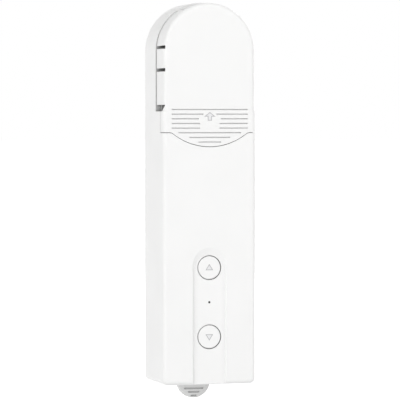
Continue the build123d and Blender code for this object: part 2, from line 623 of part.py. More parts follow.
# Wall bracket: screwed to the wall, a T-section rail with a ratchet rack
with BuildPart() as wall_bracket:
    block((-FOOT_HALF, FOOT_HALF), (-FOOT_THICKNESS, 0), (-BRACKET_HALF_HEIGHT, BRACKET_HALF_HEIGHT))
    block((-FLANGE_HALF, FLANGE_HALF), (-BRACKET_THICKNESS, -FOOT_THICKNESS),
          (-BRACKET_HALF_HEIGHT, BRACKET_HALF_HEIGHT))
    flange_corners = wall_bracket.edges().filter_by(Axis.Y).filter_by(
        lambda edge: abs(edge.center().X) > FLANGE_HALF - 0.1)
    chamfer(flange_corners, FLANGE_CHAMFER)
    with BuildSketch(depth_plane(CUT)):
        with Locations((0, SLOT_HALF_SPACING), (0, -SLOT_HALF_SPACING)):
            SlotOverall(SLOT_LENGTH, SLOT_WIDTH, rotation=90)
    extrude(amount=BRACKET_THICKNESS + CUT * 2, mode=Mode.SUBTRACT)
    head_extra = SLOT_HEAD_RADIUS * 2 - SLOT_WIDTH
    with BuildSketch(depth_plane(-BRACKET_THICKNESS + SLOT_HEAD_DEPTH)):
        with Locations((0, SLOT_HALF_SPACING), (0, -SLOT_HALF_SPACING)):
            SlotOverall(SLOT_LENGTH + head_extra, SLOT_WIDTH + head_extra, rotation=90)
    extrude(amount=BRACKET_THICKNESS, mode=Mode.SUBTRACT)
    # Ratchet teeth: the leaf spring's bump lies in the first valley at rest
    teeth = round(LIFT_RANGE / RACK_PITCH) + 2
    with BuildSketch(Plane.YZ.offset(-RACK_HALF)):
        with BuildLine():
            rack_points = [(-BRACKET_THICKNESS + ROOT, BUMP_Z - RACK_PITCH)]
            for tooth in range(teeth):
                valley_z = BUMP_Z + (tooth - 1) * RACK_PITCH
                rack_points.append((-BRACKET_THICKNESS, valley_z))
                rack_points.append((-BRACKET_THICKNESS - RACK_TOOTH, valley_z + RACK_PITCH / 2))
            rack_points.append((-BRACKET_THICKNESS, BUMP_Z + (teeth - 1) * RACK_PITCH))
            rack_points.append((-BRACKET_THICKNESS + ROOT, BUMP_Z + (teeth - 1) * RACK_PITCH))
            Polyline(*rack_points, close=True)
        make_face()
    extrude(amount=RACK_HALF * 2)
wall_bracket.part.label = "wall_bracket"
export_step(wall_bracket.part, "parts/wall_bracket.step")

# Release lever: the tab below the housing tips its finger forward, off the rack side
with BuildPart() as release_lever:
    with BuildSketch(depth_plane(LEVER_Y + LEVER_THICKNESS / 2)):
        with Locations((0, (TAB_CENTRE_Z + LEVER_PIVOT_Z) / 2)):
            Rectangle(LEVER_HALF * 2, LEVER_PIVOT_Z - TAB_CENTRE_Z)
        with Locations((0, (LEVER_PIVOT_Z + FINGER_TOP) / 2)):
            Rectangle(FINGER_HALF * 2, FINGER_TOP - LEVER_PIVOT_Z)
    extrude(amount=LEVER_THICKNESS)
    with BuildSketch(depth_plane(TAB_REAR)):
        with Locations((0, TAB_CENTRE_Z)):
            Circle(TAB_RADIUS)
            Rectangle(TAB_RADIUS * 2, TAB_RADIUS * 2, align=(Align.CENTER, Align.MIN),
                      mode=Mode.SUBTRACT)
    extrude(amount=TAB_REAR - TAB_FRONT)
    with Locations(Location((0, LEVER_Y, LEVER_PIVOT_Z), (0, 90, 0))):
        Cylinder(LEVER_BARREL_RADIUS, LEVER_HALF * 2)
        Cylinder(LEVER_PIN_RADIUS + RUNNING_CLEARANCE, LEVER_HALF * 3, mode=Mode.SUBTRACT)
    for line in range(TAB_GRIPS):
        line_z = TAB_GRIP_TOP - line * TAB_GRIP_PITCH
        block((-TAB_RADIUS, TAB_RADIUS), (TAB_FRONT - CUT, TAB_FRONT + TAB_GRIP_DEPTH),
              (line_z - TAB_GRIP_WIDTH / 2, line_z + TAB_GRIP_WIDTH / 2), Mode.SUBTRACT)
release_lever.part.label = "release_lever"
export_step(release_lever.part, "parts/release_lever.step")

with BuildPart() as lever_pin:
    with Locations(Location((0, LEVER_Y, LEVER_PIVOT_Z), (0, 90, 0))):
        Cylinder(LEVER_PIN_RADIUS, LEVER_PIN_HALF * 2)
lever_pin.part.label = "lever_pin"
export_step(lever_pin.part, "parts/lever_pin.step")

# Leaf spring: its V-shaped bump lies in the rack and holds the housing at its height
with BuildPart() as leaf_spring:
    leaf_y = PANEL_FRONT - LEAF_THICKNESS / 2
    with BuildSketch(Plane.YZ.offset(-LEAF_HALF)):
        with BuildLine():
            Polyline((leaf_y, LEAF_TOP), (leaf_y, BUMP_Z + BUMP_HALF), (BUMP_TIP_Y, BUMP_Z),
                     (leaf_y, BUMP_Z - BUMP_HALF), (leaf_y, LEAF_BOTTOM))
        trace(line_width=LEAF_THICKNESS)
    extrude(amount=LEAF_HALF * 2)
    rod(SCREW_RADIUS + SCREW_SLACK, 0, (PANEL_FRONT - CUT, PANEL_REAR), LEAF_TOP - LEAF_SEAT / 2,
        Mode.SUBTRACT)
leaf_spring.part.label = "leaf_spring"
export_step(leaf_spring.part, "parts/leaf_spring.step")


def screw(x, y_seat, z, length, head=SCREW_HEAD):
    """A screw whose head lies on its seat: a positive length points to the wall, a negative one away."""
    way = math.copysign(1, length)
    rod(SCREW_RADIUS - SEAT_CLEARANCE, x, sorted((y_seat - way * ROOT, y_seat + length)), z)
    rod(SCREW_HEAD_RADIUS, x, sorted((y_seat - way * head, y_seat)), z)


with BuildPart() as leaf_screw:
    screw(0, PANEL_FRONT - LEAF_THICKNESS, LEAF_TOP - LEAF_SEAT / 2,
          LEAF_THICKNESS + PANEL_THICKNESS - BLIND_WALL * 2)
leaf_screw.part.label = "leaf_screw"
export_step(leaf_screw.part, "parts/leaf_screw.step")

with BuildPart() as panel_screws:
    for side in (-1, 1):
        for screw_z in PANEL_SCREW_ZS:
            screw(side * PANEL_SCREW_X, PANEL_REAR, screw_z,
                  BLIND_WALL - PANEL_THICKNESS - SCREW_LENGTH)
panel_screws.part.label = "panel_screws"
export_step(panel_screws.part, "parts/panel_screws.step")

# Chain guide: a U-shaped trough round the sprocket that keeps the beads in their pockets
with BuildPart() as chain_guide:
    trough = GUIDE_RADIUS + GUIDE_THICKNESS / 2
    with BuildSketch(depth_plane(SEAM_Y)):
        with BuildLine():
            Line((-trough, DOME_Z + GUIDE_LEG), (-trough, DOME_Z))
            ThreePointArc((-trough, DOME_Z), (0, DOME_Z - trough), (trough, DOME_Z))
            Line((trough, DOME_Z), (trough, DOME_Z + GUIDE_LEG))
        trace(line_width=GUIDE_THICKNESS)
    extrude(amount=SEAM_Y - SPROCKET_FRONT + GUIDE_PROUD)
    with BuildSketch(depth_plane(SEAM_Y)):
        with Locations((GUIDE_EAR_X, GUIDE_EAR_Z), (-GUIDE_EAR_X, GUIDE_EAR_Z)):
            Circle(GUIDE_EAR_RADIUS)
        for side in (-1, 1):
            with Locations((side * (GUIDE_EAR_X + trough) / 2, GUIDE_EAR_Z)):
                Rectangle(GUIDE_EAR_X - trough, GUIDE_EAR_RADIUS * 2)
        with Locations((GUIDE_EAR_X, GUIDE_EAR_Z), (-GUIDE_EAR_X, GUIDE_EAR_Z)):
            Circle(SCREW_RADIUS + SCREW_SLACK, mode=Mode.SUBTRACT)
    extrude(amount=GUIDE_EAR_THICKNESS)
chain_guide.part.label = "chain_guide"
export_step(chain_guide.part, "parts/chain_guide.step")

with BuildPart() as guide_screws:
    for side in (-1, 1):
        screw(side * GUIDE_EAR_X, SEAM_Y - GUIDE_EAR_THICKNESS, GUIDE_EAR_Z,
              GUIDE_EAR_THICKNESS + WALL - BLIND_WALL)
guide_screws.part.label = "guide_screws"
export_step(guide_screws.part, "parts/guide_screws.step")

shaft_axis = Axis((0, 0, DOME_Z), (0, 1, 0))
wheel_plane = Plane(origin=(0, SPROCKET_Y, DOME_Z), x_dir=(1, 0, 0), z_dir=(0, -1, 0))


def d_section(radius, flat):
    """Round section with one flat on its upper side, in the current sketch."""
    Circle(radius)
    with Locations((0, radius)):
        Rectangle(radius * 2, flat * 2, mode=Mode.SUBTRACT)


# Chain sprocket: round pockets take the beads, and the rim between them clears the cord
with BuildPart() as chain_sprocket:
    half = SPROCKET_WIDTH / 2
    rim = PITCH_RADIUS - RIM_BELOW_PITCH
    cheek = half - SPROCKET_FLANGE
    with BuildSketch(Plane(origin=(0, SPROCKET_Y, DOME_Z), x_dir=(1, 0, 0), z_dir=(0, 0, 1))):
        with BuildLine():
            Polyline((0, -half), (SPROCKET_RADIUS, -half), (SPROCKET_RADIUS, -cheek),
                     (rim, -cheek + CHEEK_SLOPE), (rim, cheek - CHEEK_SLOPE),
                     (SPROCKET_RADIUS, cheek), (SPROCKET_RADIUS, half), (0, half), close=True)
        make_face()
    revolve(axis=shaft_axis)
    with Locations(wheel_plane):
        with PolarLocations(PITCH_RADIUS, CHAIN_POCKETS):
            Sphere(CHAIN_BALL / 2 + POCKET_CLEARANCE, mode=Mode.SUBTRACT)
    with BuildSketch(wheel_plane):
        d_section(SHAFT_RADIUS + SEAT_CLEARANCE, SHAFT_FLAT)
    extrude(amount=SPROCKET_WIDTH, both=True, mode=Mode.SUBTRACT)
chain_sprocket.part.label = "chain_sprocket"
export_step(chain_sprocket.part, "parts/chain_sprocket.step")

with BuildPart() as sprocket_shaft:
    rod(SHAFT_RADIUS, 0, (SPROCKET_FRONT + SCREW_SLACK, REAR_BUSH_REAR - END_FLOAT), DOME_Z)
    block((-SHAFT_RADIUS, SHAFT_RADIUS), (SPROCKET_FRONT, SPROCKET_REAR),
          (DOME_Z + SHAFT_RADIUS - SHAFT_FLAT, DOME_Z + SHAFT_RADIUS + CUT), Mode.SUBTRACT)
    rod(END_SCREW_RADIUS, 0, (SPROCKET_FRONT, SPROCKET_FRONT + END_SCREW_LENGTH + BLIND_WALL), DOME_Z,
        Mode.SUBTRACT)
sprocket_shaft.part.label = "sprocket_shaft"
export_step(sprocket_shaft.part, "parts/sprocket_shaft.step")

with BuildPart() as sprocket_screw:
    rod(END_SCREW_RADIUS - SEAT_CLEARANCE, 0, (SPROCKET_FRONT - ROOT, SPROCKET_FRONT + END_SCREW_LENGTH),
        DOME_Z)
    rod(END_SCREW_HEAD_RADIUS, 0, (SPROCKET_FRONT - END_SCREW_HEAD, SPROCKET_FRONT), DOME_Z)
sprocket_screw.part.label = "sprocket_screw"
export_step(sprocket_screw.part, "parts/sprocket_screw.step")

with BuildPart() as front_bush:
    rod(BUSH_FLANGE_RADIUS, 0, (SEAM_Y - BUSH_FLANGE, SEAM_Y), DOME_Z)
    rod(BUSH_RADIUS, 0, (SEAM_Y - BUSH_FLANGE, FRONT_BUSH_REAR), DOME_Z)
    rod(SHAFT_RADIUS + RUNNING_CLEARANCE, 0, (SEAM_Y - CUT, FRONT_BUSH_REAR + CUT), DOME_Z, Mode.SUBTRACT)
front_bush.part.label = "front_bush"
export_step(front_bush.part, "parts/front_bush.step")

with BuildPart() as rear_bush:
    rod(BUSH_RADIUS, 0, (REAR_BUSH_FRONT, REAR_BUSH_REAR), DOME_Z)
    rod(SHAFT_RADIUS + RUNNING_CLEARANCE, 0, (REAR_BUSH_FRONT - CUT, REAR_BUSH_REAR + CUT), DOME_Z,
        Mode.SUBTRACT)
rear_bush.part.label = "rear_bush"
export_step(rear_bush.part, "parts/rear_bush.step")

# Crown gear: a plate with teeth on its front face, driven by the pinion below the shaft
with BuildPart() as crown_tooth:
    half_tooth = (math.pi * MODULE / 2 - TOOTH_THINNING) / 2
    slant = math.tan(math.radians(PRESSURE_ANGLE))
    inner = CROWN_RADIUS - CROWN_FACE / 2
    with BuildSketch(Plane(origin=(0, CROWN_PITCH_Y, DOME_Z - inner), x_dir=(1, 0, 0),
                           z_dir=(0, 0, -1))):
        with BuildLine():
            tip_half = half_tooth - ADDENDUM * slant
            foot = -DEDENDUM - ROOT
            root_half = half_tooth - foot * slant
            Polyline((-root_half, foot), (root_half, foot),
                     (tip_half, ADDENDUM), (-tip_half, ADDENDUM), close=True)
        make_face()
    extrude(amount=CROWN_FACE)

with BuildPart() as crown_gear:
    rod(CROWN_RADIUS + CROWN_FACE / 2 + CROWN_RIM, 0, (CROWN_BACK - CROWN_PLATE, CROWN_BACK), DOME_Z)
    rod(CROWN_HUB_RADIUS, 0, (FRONT_BUSH_REAR + END_FLOAT, CROWN_BACK), DOME_Z)
    step_angle = 360 / CROWN_TEETH
    add([crown_tooth.part.rotate(shaft_axis, (tooth + 0.5) * step_angle)
         for tooth in range(CROWN_TEETH)])
    rod(SHAFT_RADIUS + SEAT_CLEARANCE, 0, (SEAM_Y, PANEL_FRONT), DOME_Z, Mode.SUBTRACT)
crown_gear.part.label = "crown_gear"
export_step(crown_gear.part, "parts/crown_gear.step")


def drive_plane(z):
    """Level sketch plane centred on the motor's axis."""
    return Plane(origin=(0, DRIVE_Y, z), x_dir=(1, 0, 0), z_dir=(0, 0, 1))


# Drive pinion on the gearbox's output shaft: one tooth points at the crown gear at rest
with BuildPart() as drive_pinion:
    with BuildSketch(drive_plane(PINION_Z - CROWN_FACE / 2)):
        gear_profile(PINION_TEETH, MODULE, ADDENDUM, DEDENDUM, TOOTH_THINNING, 90)
    extrude(amount=CROWN_FACE)
    post(PINION_HUB_RADIUS, 0, DRIVE_Y, (PINION_HUB_BOTTOM, PINION_Z))
    with BuildSketch(drive_plane(PINION_HUB_BOTTOM - CUT)):
        d_section(OUTPUT_RADIUS + SEAT_CLEARANCE, OUTPUT_FLAT)
    extrude(amount=PINION_HUB_LENGTH + CROWN_FACE + CUT * 2, mode=Mode.SUBTRACT)
drive_pinion.part.label = "drive_pinion"
export_step(drive_pinion.part, "parts/drive_pinion.step")

with BuildPart() as output_shaft:
    carrier_top = GEARBOX_TOP - GEARBOX_FACE - END_FLOAT
    post(OUTPUT_RADIUS, 0, DRIVE_Y, (carrier_top - CARRIER_THICKNESS, PINION_TOP - END_FLOAT))
    post(CARRIER_RADIUS, 0, DRIVE_Y, (carrier_top - CARRIER_THICKNESS, carrier_top))
    block((-OUTPUT_RADIUS, OUTPUT_RADIUS),
          (DRIVE_Y + OUTPUT_RADIUS - OUTPUT_FLAT, DRIVE_Y + OUTPUT_RADIUS + CUT),
          (PINION_HUB_BOTTOM - END_FLOAT / 2, PINION_TOP), Mode.SUBTRACT)
output_shaft.part.label = "output_shaft"
export_step(output_shaft.part, "parts/output_shaft.step")

with BuildPart() as gearbox_case:
    post(GEARBOX_RADIUS, 0, DRIVE_Y, (GEARBOX_BOTTOM, GEARBOX_TOP))
    post(GEARBOX_BOSS_RADIUS, 0, DRIVE_Y, (GEARBOX_TOP, GEARBOX_TOP + GEARBOX_BOSS_LENGTH))
    post(GEARBOX_RADIUS - GEARBOX_WALL, 0, DRIVE_Y,
         (GEARBOX_BOTTOM + GEARBOX_FLOOR, GEARBOX_TOP - GEARBOX_FACE), Mode.SUBTRACT)
    post(OUTPUT_RADIUS + RUNNING_CLEARANCE, 0, DRIVE_Y, (GEARBOX_TOP - GEARBOX_FACE - CUT, PINION_Z),
         Mode.SUBTRACT)
    post(ROTOR_SHAFT_RADIUS + ROTOR_GAP, 0, DRIVE_Y,
         (GEARBOX_BOTTOM - CUT, GEARBOX_BOTTOM + GEARBOX_FLOOR + CUT), Mode.SUBTRACT)
    for side in (-1, 1):
        post(SCREW_RADIUS, side * GEARBOX_SCREW_X, DRIVE_Y,
             (GEARBOX_TOP - GEARBOX_FACE, GEARBOX_TOP + CUT), Mode.SUBTRACT)
gearbox_case.part.label = "gearbox_case"
export_step(gearbox_case.part, "parts/gearbox_case.step")

with BuildPart() as motor_plate:
    block((-bay_inner + PLATE_CLEARANCE, bay_inner - PLATE_CLEARANCE),
          (BAY_FRONT + BAY_WALL + PLATE_CLEARANCE, DRIVE_Y + GEARBOX_RADIUS),
          (PLATE_BOTTOM, PLATE_BOTTOM + PLATE_THICKNESS))
    fillet(motor_plate.edges().filter_by(Axis.Z), PLATE_CORNER)
    plate_cut = (PLATE_BOTTOM - CUT, PLATE_BOTTOM + PLATE_THICKNESS + CUT)
    post(GEARBOX_BOSS_RADIUS + SEAT_CLEARANCE, 0, DRIVE_Y, plate_cut, Mode.SUBTRACT)
    for side in (-1, 1):
        post(SCREW_RADIUS + SCREW_SLACK, side * GEARBOX_SCREW_X, DRIVE_Y, plate_cut, Mode.SUBTRACT)
motor_plate.part.label = "motor_plate"
export_step(motor_plate.part, "parts/motor_plate.step")

with BuildPart() as gearbox_screws:
    plate_top = PLATE_BOTTOM + PLATE_THICKNESS
    for side in (-1, 1):
        post(SCREW_RADIUS - SEAT_CLEARANCE, side * GEARBOX_SCREW_X, DRIVE_Y,
             (GEARBOX_TOP - GEARBOX_FACE + BLIND_WALL, plate_top + ROOT))
        post(SCREW_HEAD_RADIUS, side * GEARBOX_SCREW_X, DRIVE_Y, (plate_top, plate_top + SCREW_HEAD))
gearbox_screws.part.label = "gearbox_screws"
export_step(gearbox_screws.part, "parts/gearbox_screws.step")

# Motor: can with two magnets, end cap, and a three-pole rotor
with BuildPart() as motor_can:
    post(MOTOR_RADIUS, 0, DRIVE_Y, (MOTOR_BOTTOM + END_CAP, GEARBOX_BOTTOM))
    post(MOTOR_RADIUS - MOTOR_CAN, 0, DRIVE_Y, (MOTOR_BOTTOM, GEARBOX_BOTTOM - CAN_END), Mode.SUBTRACT)
    post(ROTOR_SHAFT_RADIUS + RUNNING_CLEARANCE, 0, DRIVE_Y, (MOTOR_BOTTOM, GEARBOX_BOTTOM + CUT),
         Mode.SUBTRACT)
motor_can.part.label = "motor_can"
export_step(motor_can.part, "parts/motor_can.step")

with BuildPart() as motor_end_cap:
    post(MOTOR_RADIUS, 0, DRIVE_Y, (MOTOR_BOTTOM, MOTOR_BOTTOM + END_CAP))
    post(MOTOR_RADIUS - MOTOR_CAN - SEAT_CLEARANCE, 0, DRIVE_Y,
         (MOTOR_BOTTOM, MOTOR_BOTTOM + END_CAP + END_CAP_SPIGOT))
    post(ROTOR_SHAFT_RADIUS + RUNNING_CLEARANCE, 0, DRIVE_Y, (MOTOR_BOTTOM - CUT, GEARBOX_BOTTOM),
         Mode.SUBTRACT)
    for side in (-1, 1):
        post(ENCODER_POST_RADIUS, side * ENCODER_POST_X, DRIVE_Y, (ENCODER_BOARD_TOP, MOTOR_BOTTOM))
motor_end_cap.part.label = "motor_end_cap"
export_step(motor_end_cap.part, "parts/motor_end_cap.step")

with BuildPart() as motor_magnets:
    outer = MOTOR_RADIUS - MOTOR_CAN - MAGNET_GLUE
    post(outer, 0, DRIVE_Y, (ARMATURE_BOTTOM, ARMATURE_BOTTOM + ARMATURE_LENGTH))
    post(outer - MAGNET_THICKNESS, 0, DRIVE_Y, (MOTOR_BOTTOM, GEARBOX_BOTTOM), Mode.SUBTRACT)
    block((-MAGNET_GAP_HALF, MAGNET_GAP_HALF), (DRIVE_Y - MOTOR_RADIUS, DRIVE_Y + MOTOR_RADIUS),
          (MOTOR_BOTTOM, GEARBOX_BOTTOM), Mode.SUBTRACT)
motor_magnets.part.label = "motor_magnets"
export_step(motor_magnets.part, "parts/motor_magnets.step")

with BuildPart() as motor_rotor:
    post(ARMATURE_RADIUS, 0, DRIVE_Y, (ARMATURE_BOTTOM, ARMATURE_BOTTOM + ARMATURE_LENGTH))
    with Locations(drive_plane(ARMATURE_BOTTOM + ARMATURE_LENGTH / 2)):
        with PolarLocations(ARMATURE_RADIUS, ROTOR_POLES):
            Box(ROTOR_SLOT_DEPTH * 2, ROTOR_SLOT_WIDTH, ARMATURE_LENGTH * 2, mode=Mode.SUBTRACT)
    post(COMMUTATOR_RADIUS, 0, DRIVE_Y, (MOTOR_BOTTOM + END_CAP + COMMUTATOR_GAP, ARMATURE_BOTTOM))
    post(ROTOR_SHAFT_RADIUS, 0, DRIVE_Y,
         (ENCODER_MAGNET_BOTTOM - ROTOR_GAP, GEARBOX_BOTTOM + ROTOR_SHAFT_REACH))
motor_rotor.part.label = "motor_rotor"
export_step(motor_rotor.part, "parts/motor_rotor.step")

with BuildPart() as encoder_magnet:
    post(ENCODER_RADIUS, 0, DRIVE_Y, (ENCODER_MAGNET_BOTTOM, ENCODER_MAGNET_BOTTOM + ENCODER_LENGTH))
    post(ROTOR_SHAFT_RADIUS + SEAT_CLEARANCE, 0, DRIVE_Y, (ENCODER_MAGNET_BOTTOM - CUT, MOTOR_BOTTOM),
         Mode.SUBTRACT)
encoder_magnet.part.label = "encoder_magnet"
export_step(encoder_magnet.part, "parts/encoder_magnet.step")

with BuildPart() as encoder_board:
    block((-ENCODER_BOARD_HALF_X, ENCODER_BOARD_HALF_X),
          (DRIVE_Y - ENCODER_BOARD_HALF_Y, DRIVE_Y + ENCODER_BOARD_HALF_Y),
          (ENCODER_BOARD_TOP - ENCODER_BOARD_THICKNESS, ENCODER_BOARD_TOP))
    fillet(encoder_board.edges().filter_by(Axis.Z), ENCODER_BOARD_CORNER)
    block((-ENCODER_SENSOR_HALF, ENCODER_SENSOR_HALF),
          (DRIVE_Y - ENCODER_SENSOR_DEPTH, DRIVE_Y + ENCODER_SENSOR_DEPTH),
          (ENCODER_BOARD_TOP, ENCODER_BOARD_TOP + ENCODER_SENSOR_HEIGHT))
encoder_board.part.label = "encoder_board"
export_step(encoder_board.part, "parts/encoder_board.step")

# Battery cells side by side in their holder, with spring contacts at both ends
for name, side in (("battery_cell_left", -1), ("battery_cell_right", 1)):
    cell_x = side * CELL_SPACING / 2
    with BuildPart() as battery_cell:
        post(CELL_RADIUS, cell_x, CELL_Y, (CELL_BOTTOM, CELL_TOP - CELL_NUB))
        chamfer(battery_cell.edges().filter_by(GeomType.CIRCLE), CELL_EDGE)
        post(CELL_NUB_RADIUS, cell_x, CELL_Y, (CELL_TOP - CELL_NUB - ROOT, CELL_TOP))
    battery_cell.part.label = name
    export_step(battery_cell.part, f"parts/{name}.step")

holder_bottom = CELL_BOTTOM - CONTACT_THICKNESS - HOLDER_END
holder_top = CELL_TOP + CONTACT_THICKNESS + HOLDER_END
with BuildPart() as battery_holder:
    end_half = CELL_SPACING / 2 + CELL_RADIUS + HOLDER_GAP
    end_depth = CELL_RADIUS - HOLDER_SETBACK
    for end in ((holder_bottom, holder_bottom + HOLDER_END), (holder_top - HOLDER_END, holder_top)):
        block((-end_half - HOLDER_RAIL, end_half + HOLDER_RAIL), (CELL_Y - end_depth, CELL_Y + end_depth),
              end)
    for side in (-1, 1):
        block(sorted((side * end_half, side * (end_half + HOLDER_RAIL))),
              (CELL_Y - HOLDER_RAIL_HALF, CELL_Y + HOLDER_RAIL_HALF), (holder_bottom, holder_top))
    spine_half = CELL_SPACING / 2 - CELL_RADIUS - HOLDER_GAP
    block((-spine_half, spine_half), (CELL_Y - HOLDER_SPINE_HALF, CELL_Y + HOLDER_SPINE_HALF),
          (holder_bottom, holder_top))
battery_holder.part.label = "battery_holder"
export_step(battery_holder.part, "parts/battery_holder.step")

with BuildPart() as battery_contacts:
    for side in (-1, 1):
        for end in ((CELL_BOTTOM - CONTACT_THICKNESS, CELL_BOTTOM),
                    (CELL_TOP, CELL_TOP + CONTACT_THICKNESS)):
            cell_x = side * CELL_SPACING / 2
            block((cell_x - CONTACT_HALF, cell_x + CONTACT_HALF),
                  (CELL_Y - CONTACT_HALF, CELL_Y + CONTACT_HALF), end)
battery_contacts.part.label = "battery_contacts"
export_step(battery_contacts.part, "parts/battery_contacts.step")

# Circuit board with its switches, lamp, radio module and connectors
BOARD_FRONT = BOARD_REAR - BOARD_THICKNESS
with BuildPart() as main_board:
    block((-BOARD_HALF, BOARD_HALF), (BOARD_FRONT, BOARD_REAR), (BOARD_BOTTOM, BOARD_TOP))
    for side, screw_z in BOARD_SCREW_Z.items():
        rod(SCREW_RADIUS + SCREW_SLACK, side * BOARD_POST_X, (BOARD_FRONT - CUT, BOARD_REAR + CUT),
            screw_z, Mode.SUBTRACT)
main_board.part.label = "main_board"
export_step(main_board.part, "parts/main_board.step")

with BuildPart() as board_screws:
    for side, screw_z in BOARD_SCREW_Z.items():
        screw(side * BOARD_POST_X, BOARD_REAR, screw_z, -BOARD_SCREW_LENGTH, BOARD_SCREW_HEAD)
board_screws.part.label = "board_screws"
export_step(board_screws.part, "parts/board_screws.step")

with BuildPart() as tact_switches:
    for button_z in (UP_BUTTON_Z, DOWN_BUTTON_Z):
        block((-SWITCH_SIZE / 2, SWITCH_SIZE / 2), (BOARD_FRONT - SWITCH_HEIGHT, BOARD_FRONT),
              (button_z - SWITCH_SIZE / 2, button_z + SWITCH_SIZE / 2))
        rod(PLUNGER_RADIUS, 0,
            (BOARD_FRONT - SWITCH_HEIGHT - SWITCH_PLUNGER, BOARD_FRONT - SWITCH_HEIGHT / 2), button_z)
tact_switches.part.label = "tact_switches"
export_step(tact_switches.part, "parts/tact_switches.step")

with BuildPart() as status_led:
    block((-LAMP_WIDTH / 2, LAMP_WIDTH / 2), (BOARD_FRONT - LAMP_THICKNESS, BOARD_FRONT),
          (LED_Z - LAMP_HEIGHT / 2, LED_Z + LAMP_HEIGHT / 2))
status_led.part.label = "status_led"
export_step(status_led.part, "parts/status_led.step")

with BuildPart() as light_guide:
    rod(LED_RADIUS, 0, (BUTTON_FACE + GUIDE_RECESS, BOARD_FRONT - LAMP_THICKNESS - LEVER_GAP), LED_Z)
    rod(LED_RADIUS + GUIDE_COLLAR, 0, (BUTTON_PAD, BUTTON_PAD + GUIDE_COLLAR_THICKNESS), LED_Z)
light_guide.part.label = "light_guide"
export_step(light_guide.part, "parts/light_guide.step")

with BuildPart() as radio_module:
    radio_face = BOARD_FRONT - RADIO_BOARD
    block((-RADIO_HALF, RADIO_HALF), (radio_face, BOARD_FRONT), (BOARD_TOP - RADIO_HEIGHT, BOARD_TOP))
    block((-RADIO_HALF + RADIO_MARGIN, RADIO_HALF - RADIO_AERIAL), (radio_face - SHIELD, radio_face),
          (BOARD_TOP - RADIO_HEIGHT + RADIO_MARGIN, BOARD_TOP - RADIO_MARGIN))
radio_module.part.label = "radio_module"
export_step(radio_module.part, "parts/radio_module.step")

with BuildPart() as board_connectors:
    for side in (-1, 1):
        block(sorted((side * CONNECTOR_X[0], side * CONNECTOR_X[1])),
              (BOARD_FRONT - CONNECTOR_DEPTH, BOARD_FRONT), CONNECTOR_Z)
board_connectors.part.label = "board_connectors"
export_step(board_connectors.part, "parts/board_connectors.step")

with BuildPart() as charge_inlet:
    with BuildSketch(Plane.XY.offset(BOTTOM + INLET_RECESS)):
        with Locations((0, inlet_y)):
            SlotOverall(INLET_WIDTH, INLET_HEIGHT)
            SlotOverall(INLET_WIDTH - INLET_WALL * 2, INLET_HEIGHT - INLET_WALL * 2, mode=Mode.SUBTRACT)
    extrude(amount=INLET_LENGTH)
    with BuildSketch(Plane.XY.offset(BOTTOM + INLET_RECESS + INLET_LENGTH - INLET_BACK)):
        with Locations((0, inlet_y)):
            SlotOverall(INLET_WIDTH, INLET_HEIGHT)
    extrude(amount=INLET_BACK)
    block((-INLET_TONGUE_HALF, INLET_TONGUE_HALF),
          (inlet_y - INLET_TONGUE_THICKNESS / 2, inlet_y + INLET_TONGUE_THICKNESS / 2),
          (BOTTOM + INLET_RECESS * 2, BOTTOM + INLET_RECESS + INLET_LENGTH))
charge_inlet.part.label = "charge_inlet"
export_step(charge_inlet.part, "parts/charge_inlet.step")

# Buttons: round caps in the channel, each with a collar behind the wall and a stem to its switch
for name, button_z in (("up_button", UP_BUTTON_Z), ("down_button", DOWN_BUTTON_Z)):
    collar_front = BUTTON_PAD + BUTTON_COLLAR_GAP
    stem_end = BOARD_FRONT - SWITCH_HEIGHT - SWITCH_PLUNGER - BUTTON_PLAY
    with BuildPart() as button:
        rod(BUTTON_RADIUS, 0, (BUTTON_FACE, collar_front + ROOT), button_z)
        chamfer(button.edges().sort_by(Axis.Y)[0], BUTTON_CHAMFER)
        rod(BUTTON_RADIUS + BUTTON_COLLAR, 0, (collar_front, collar_front + BUTTON_COLLAR_THICKNESS),
            button_z)
        rod(BUTTON_STEM_RADIUS, 0, (collar_front, stem_end), button_z)
    button.part.label = name
    export_step(button.part, f"parts/{name}.step")
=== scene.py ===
"""Looks of a wall-mounted roller shade motor: finishes, printed signs, screws, release tab, leaf
spring, chip parts, stage and camera."""

import json
import math

import bmesh
import bpy
from mathutils import Matrix, Vector


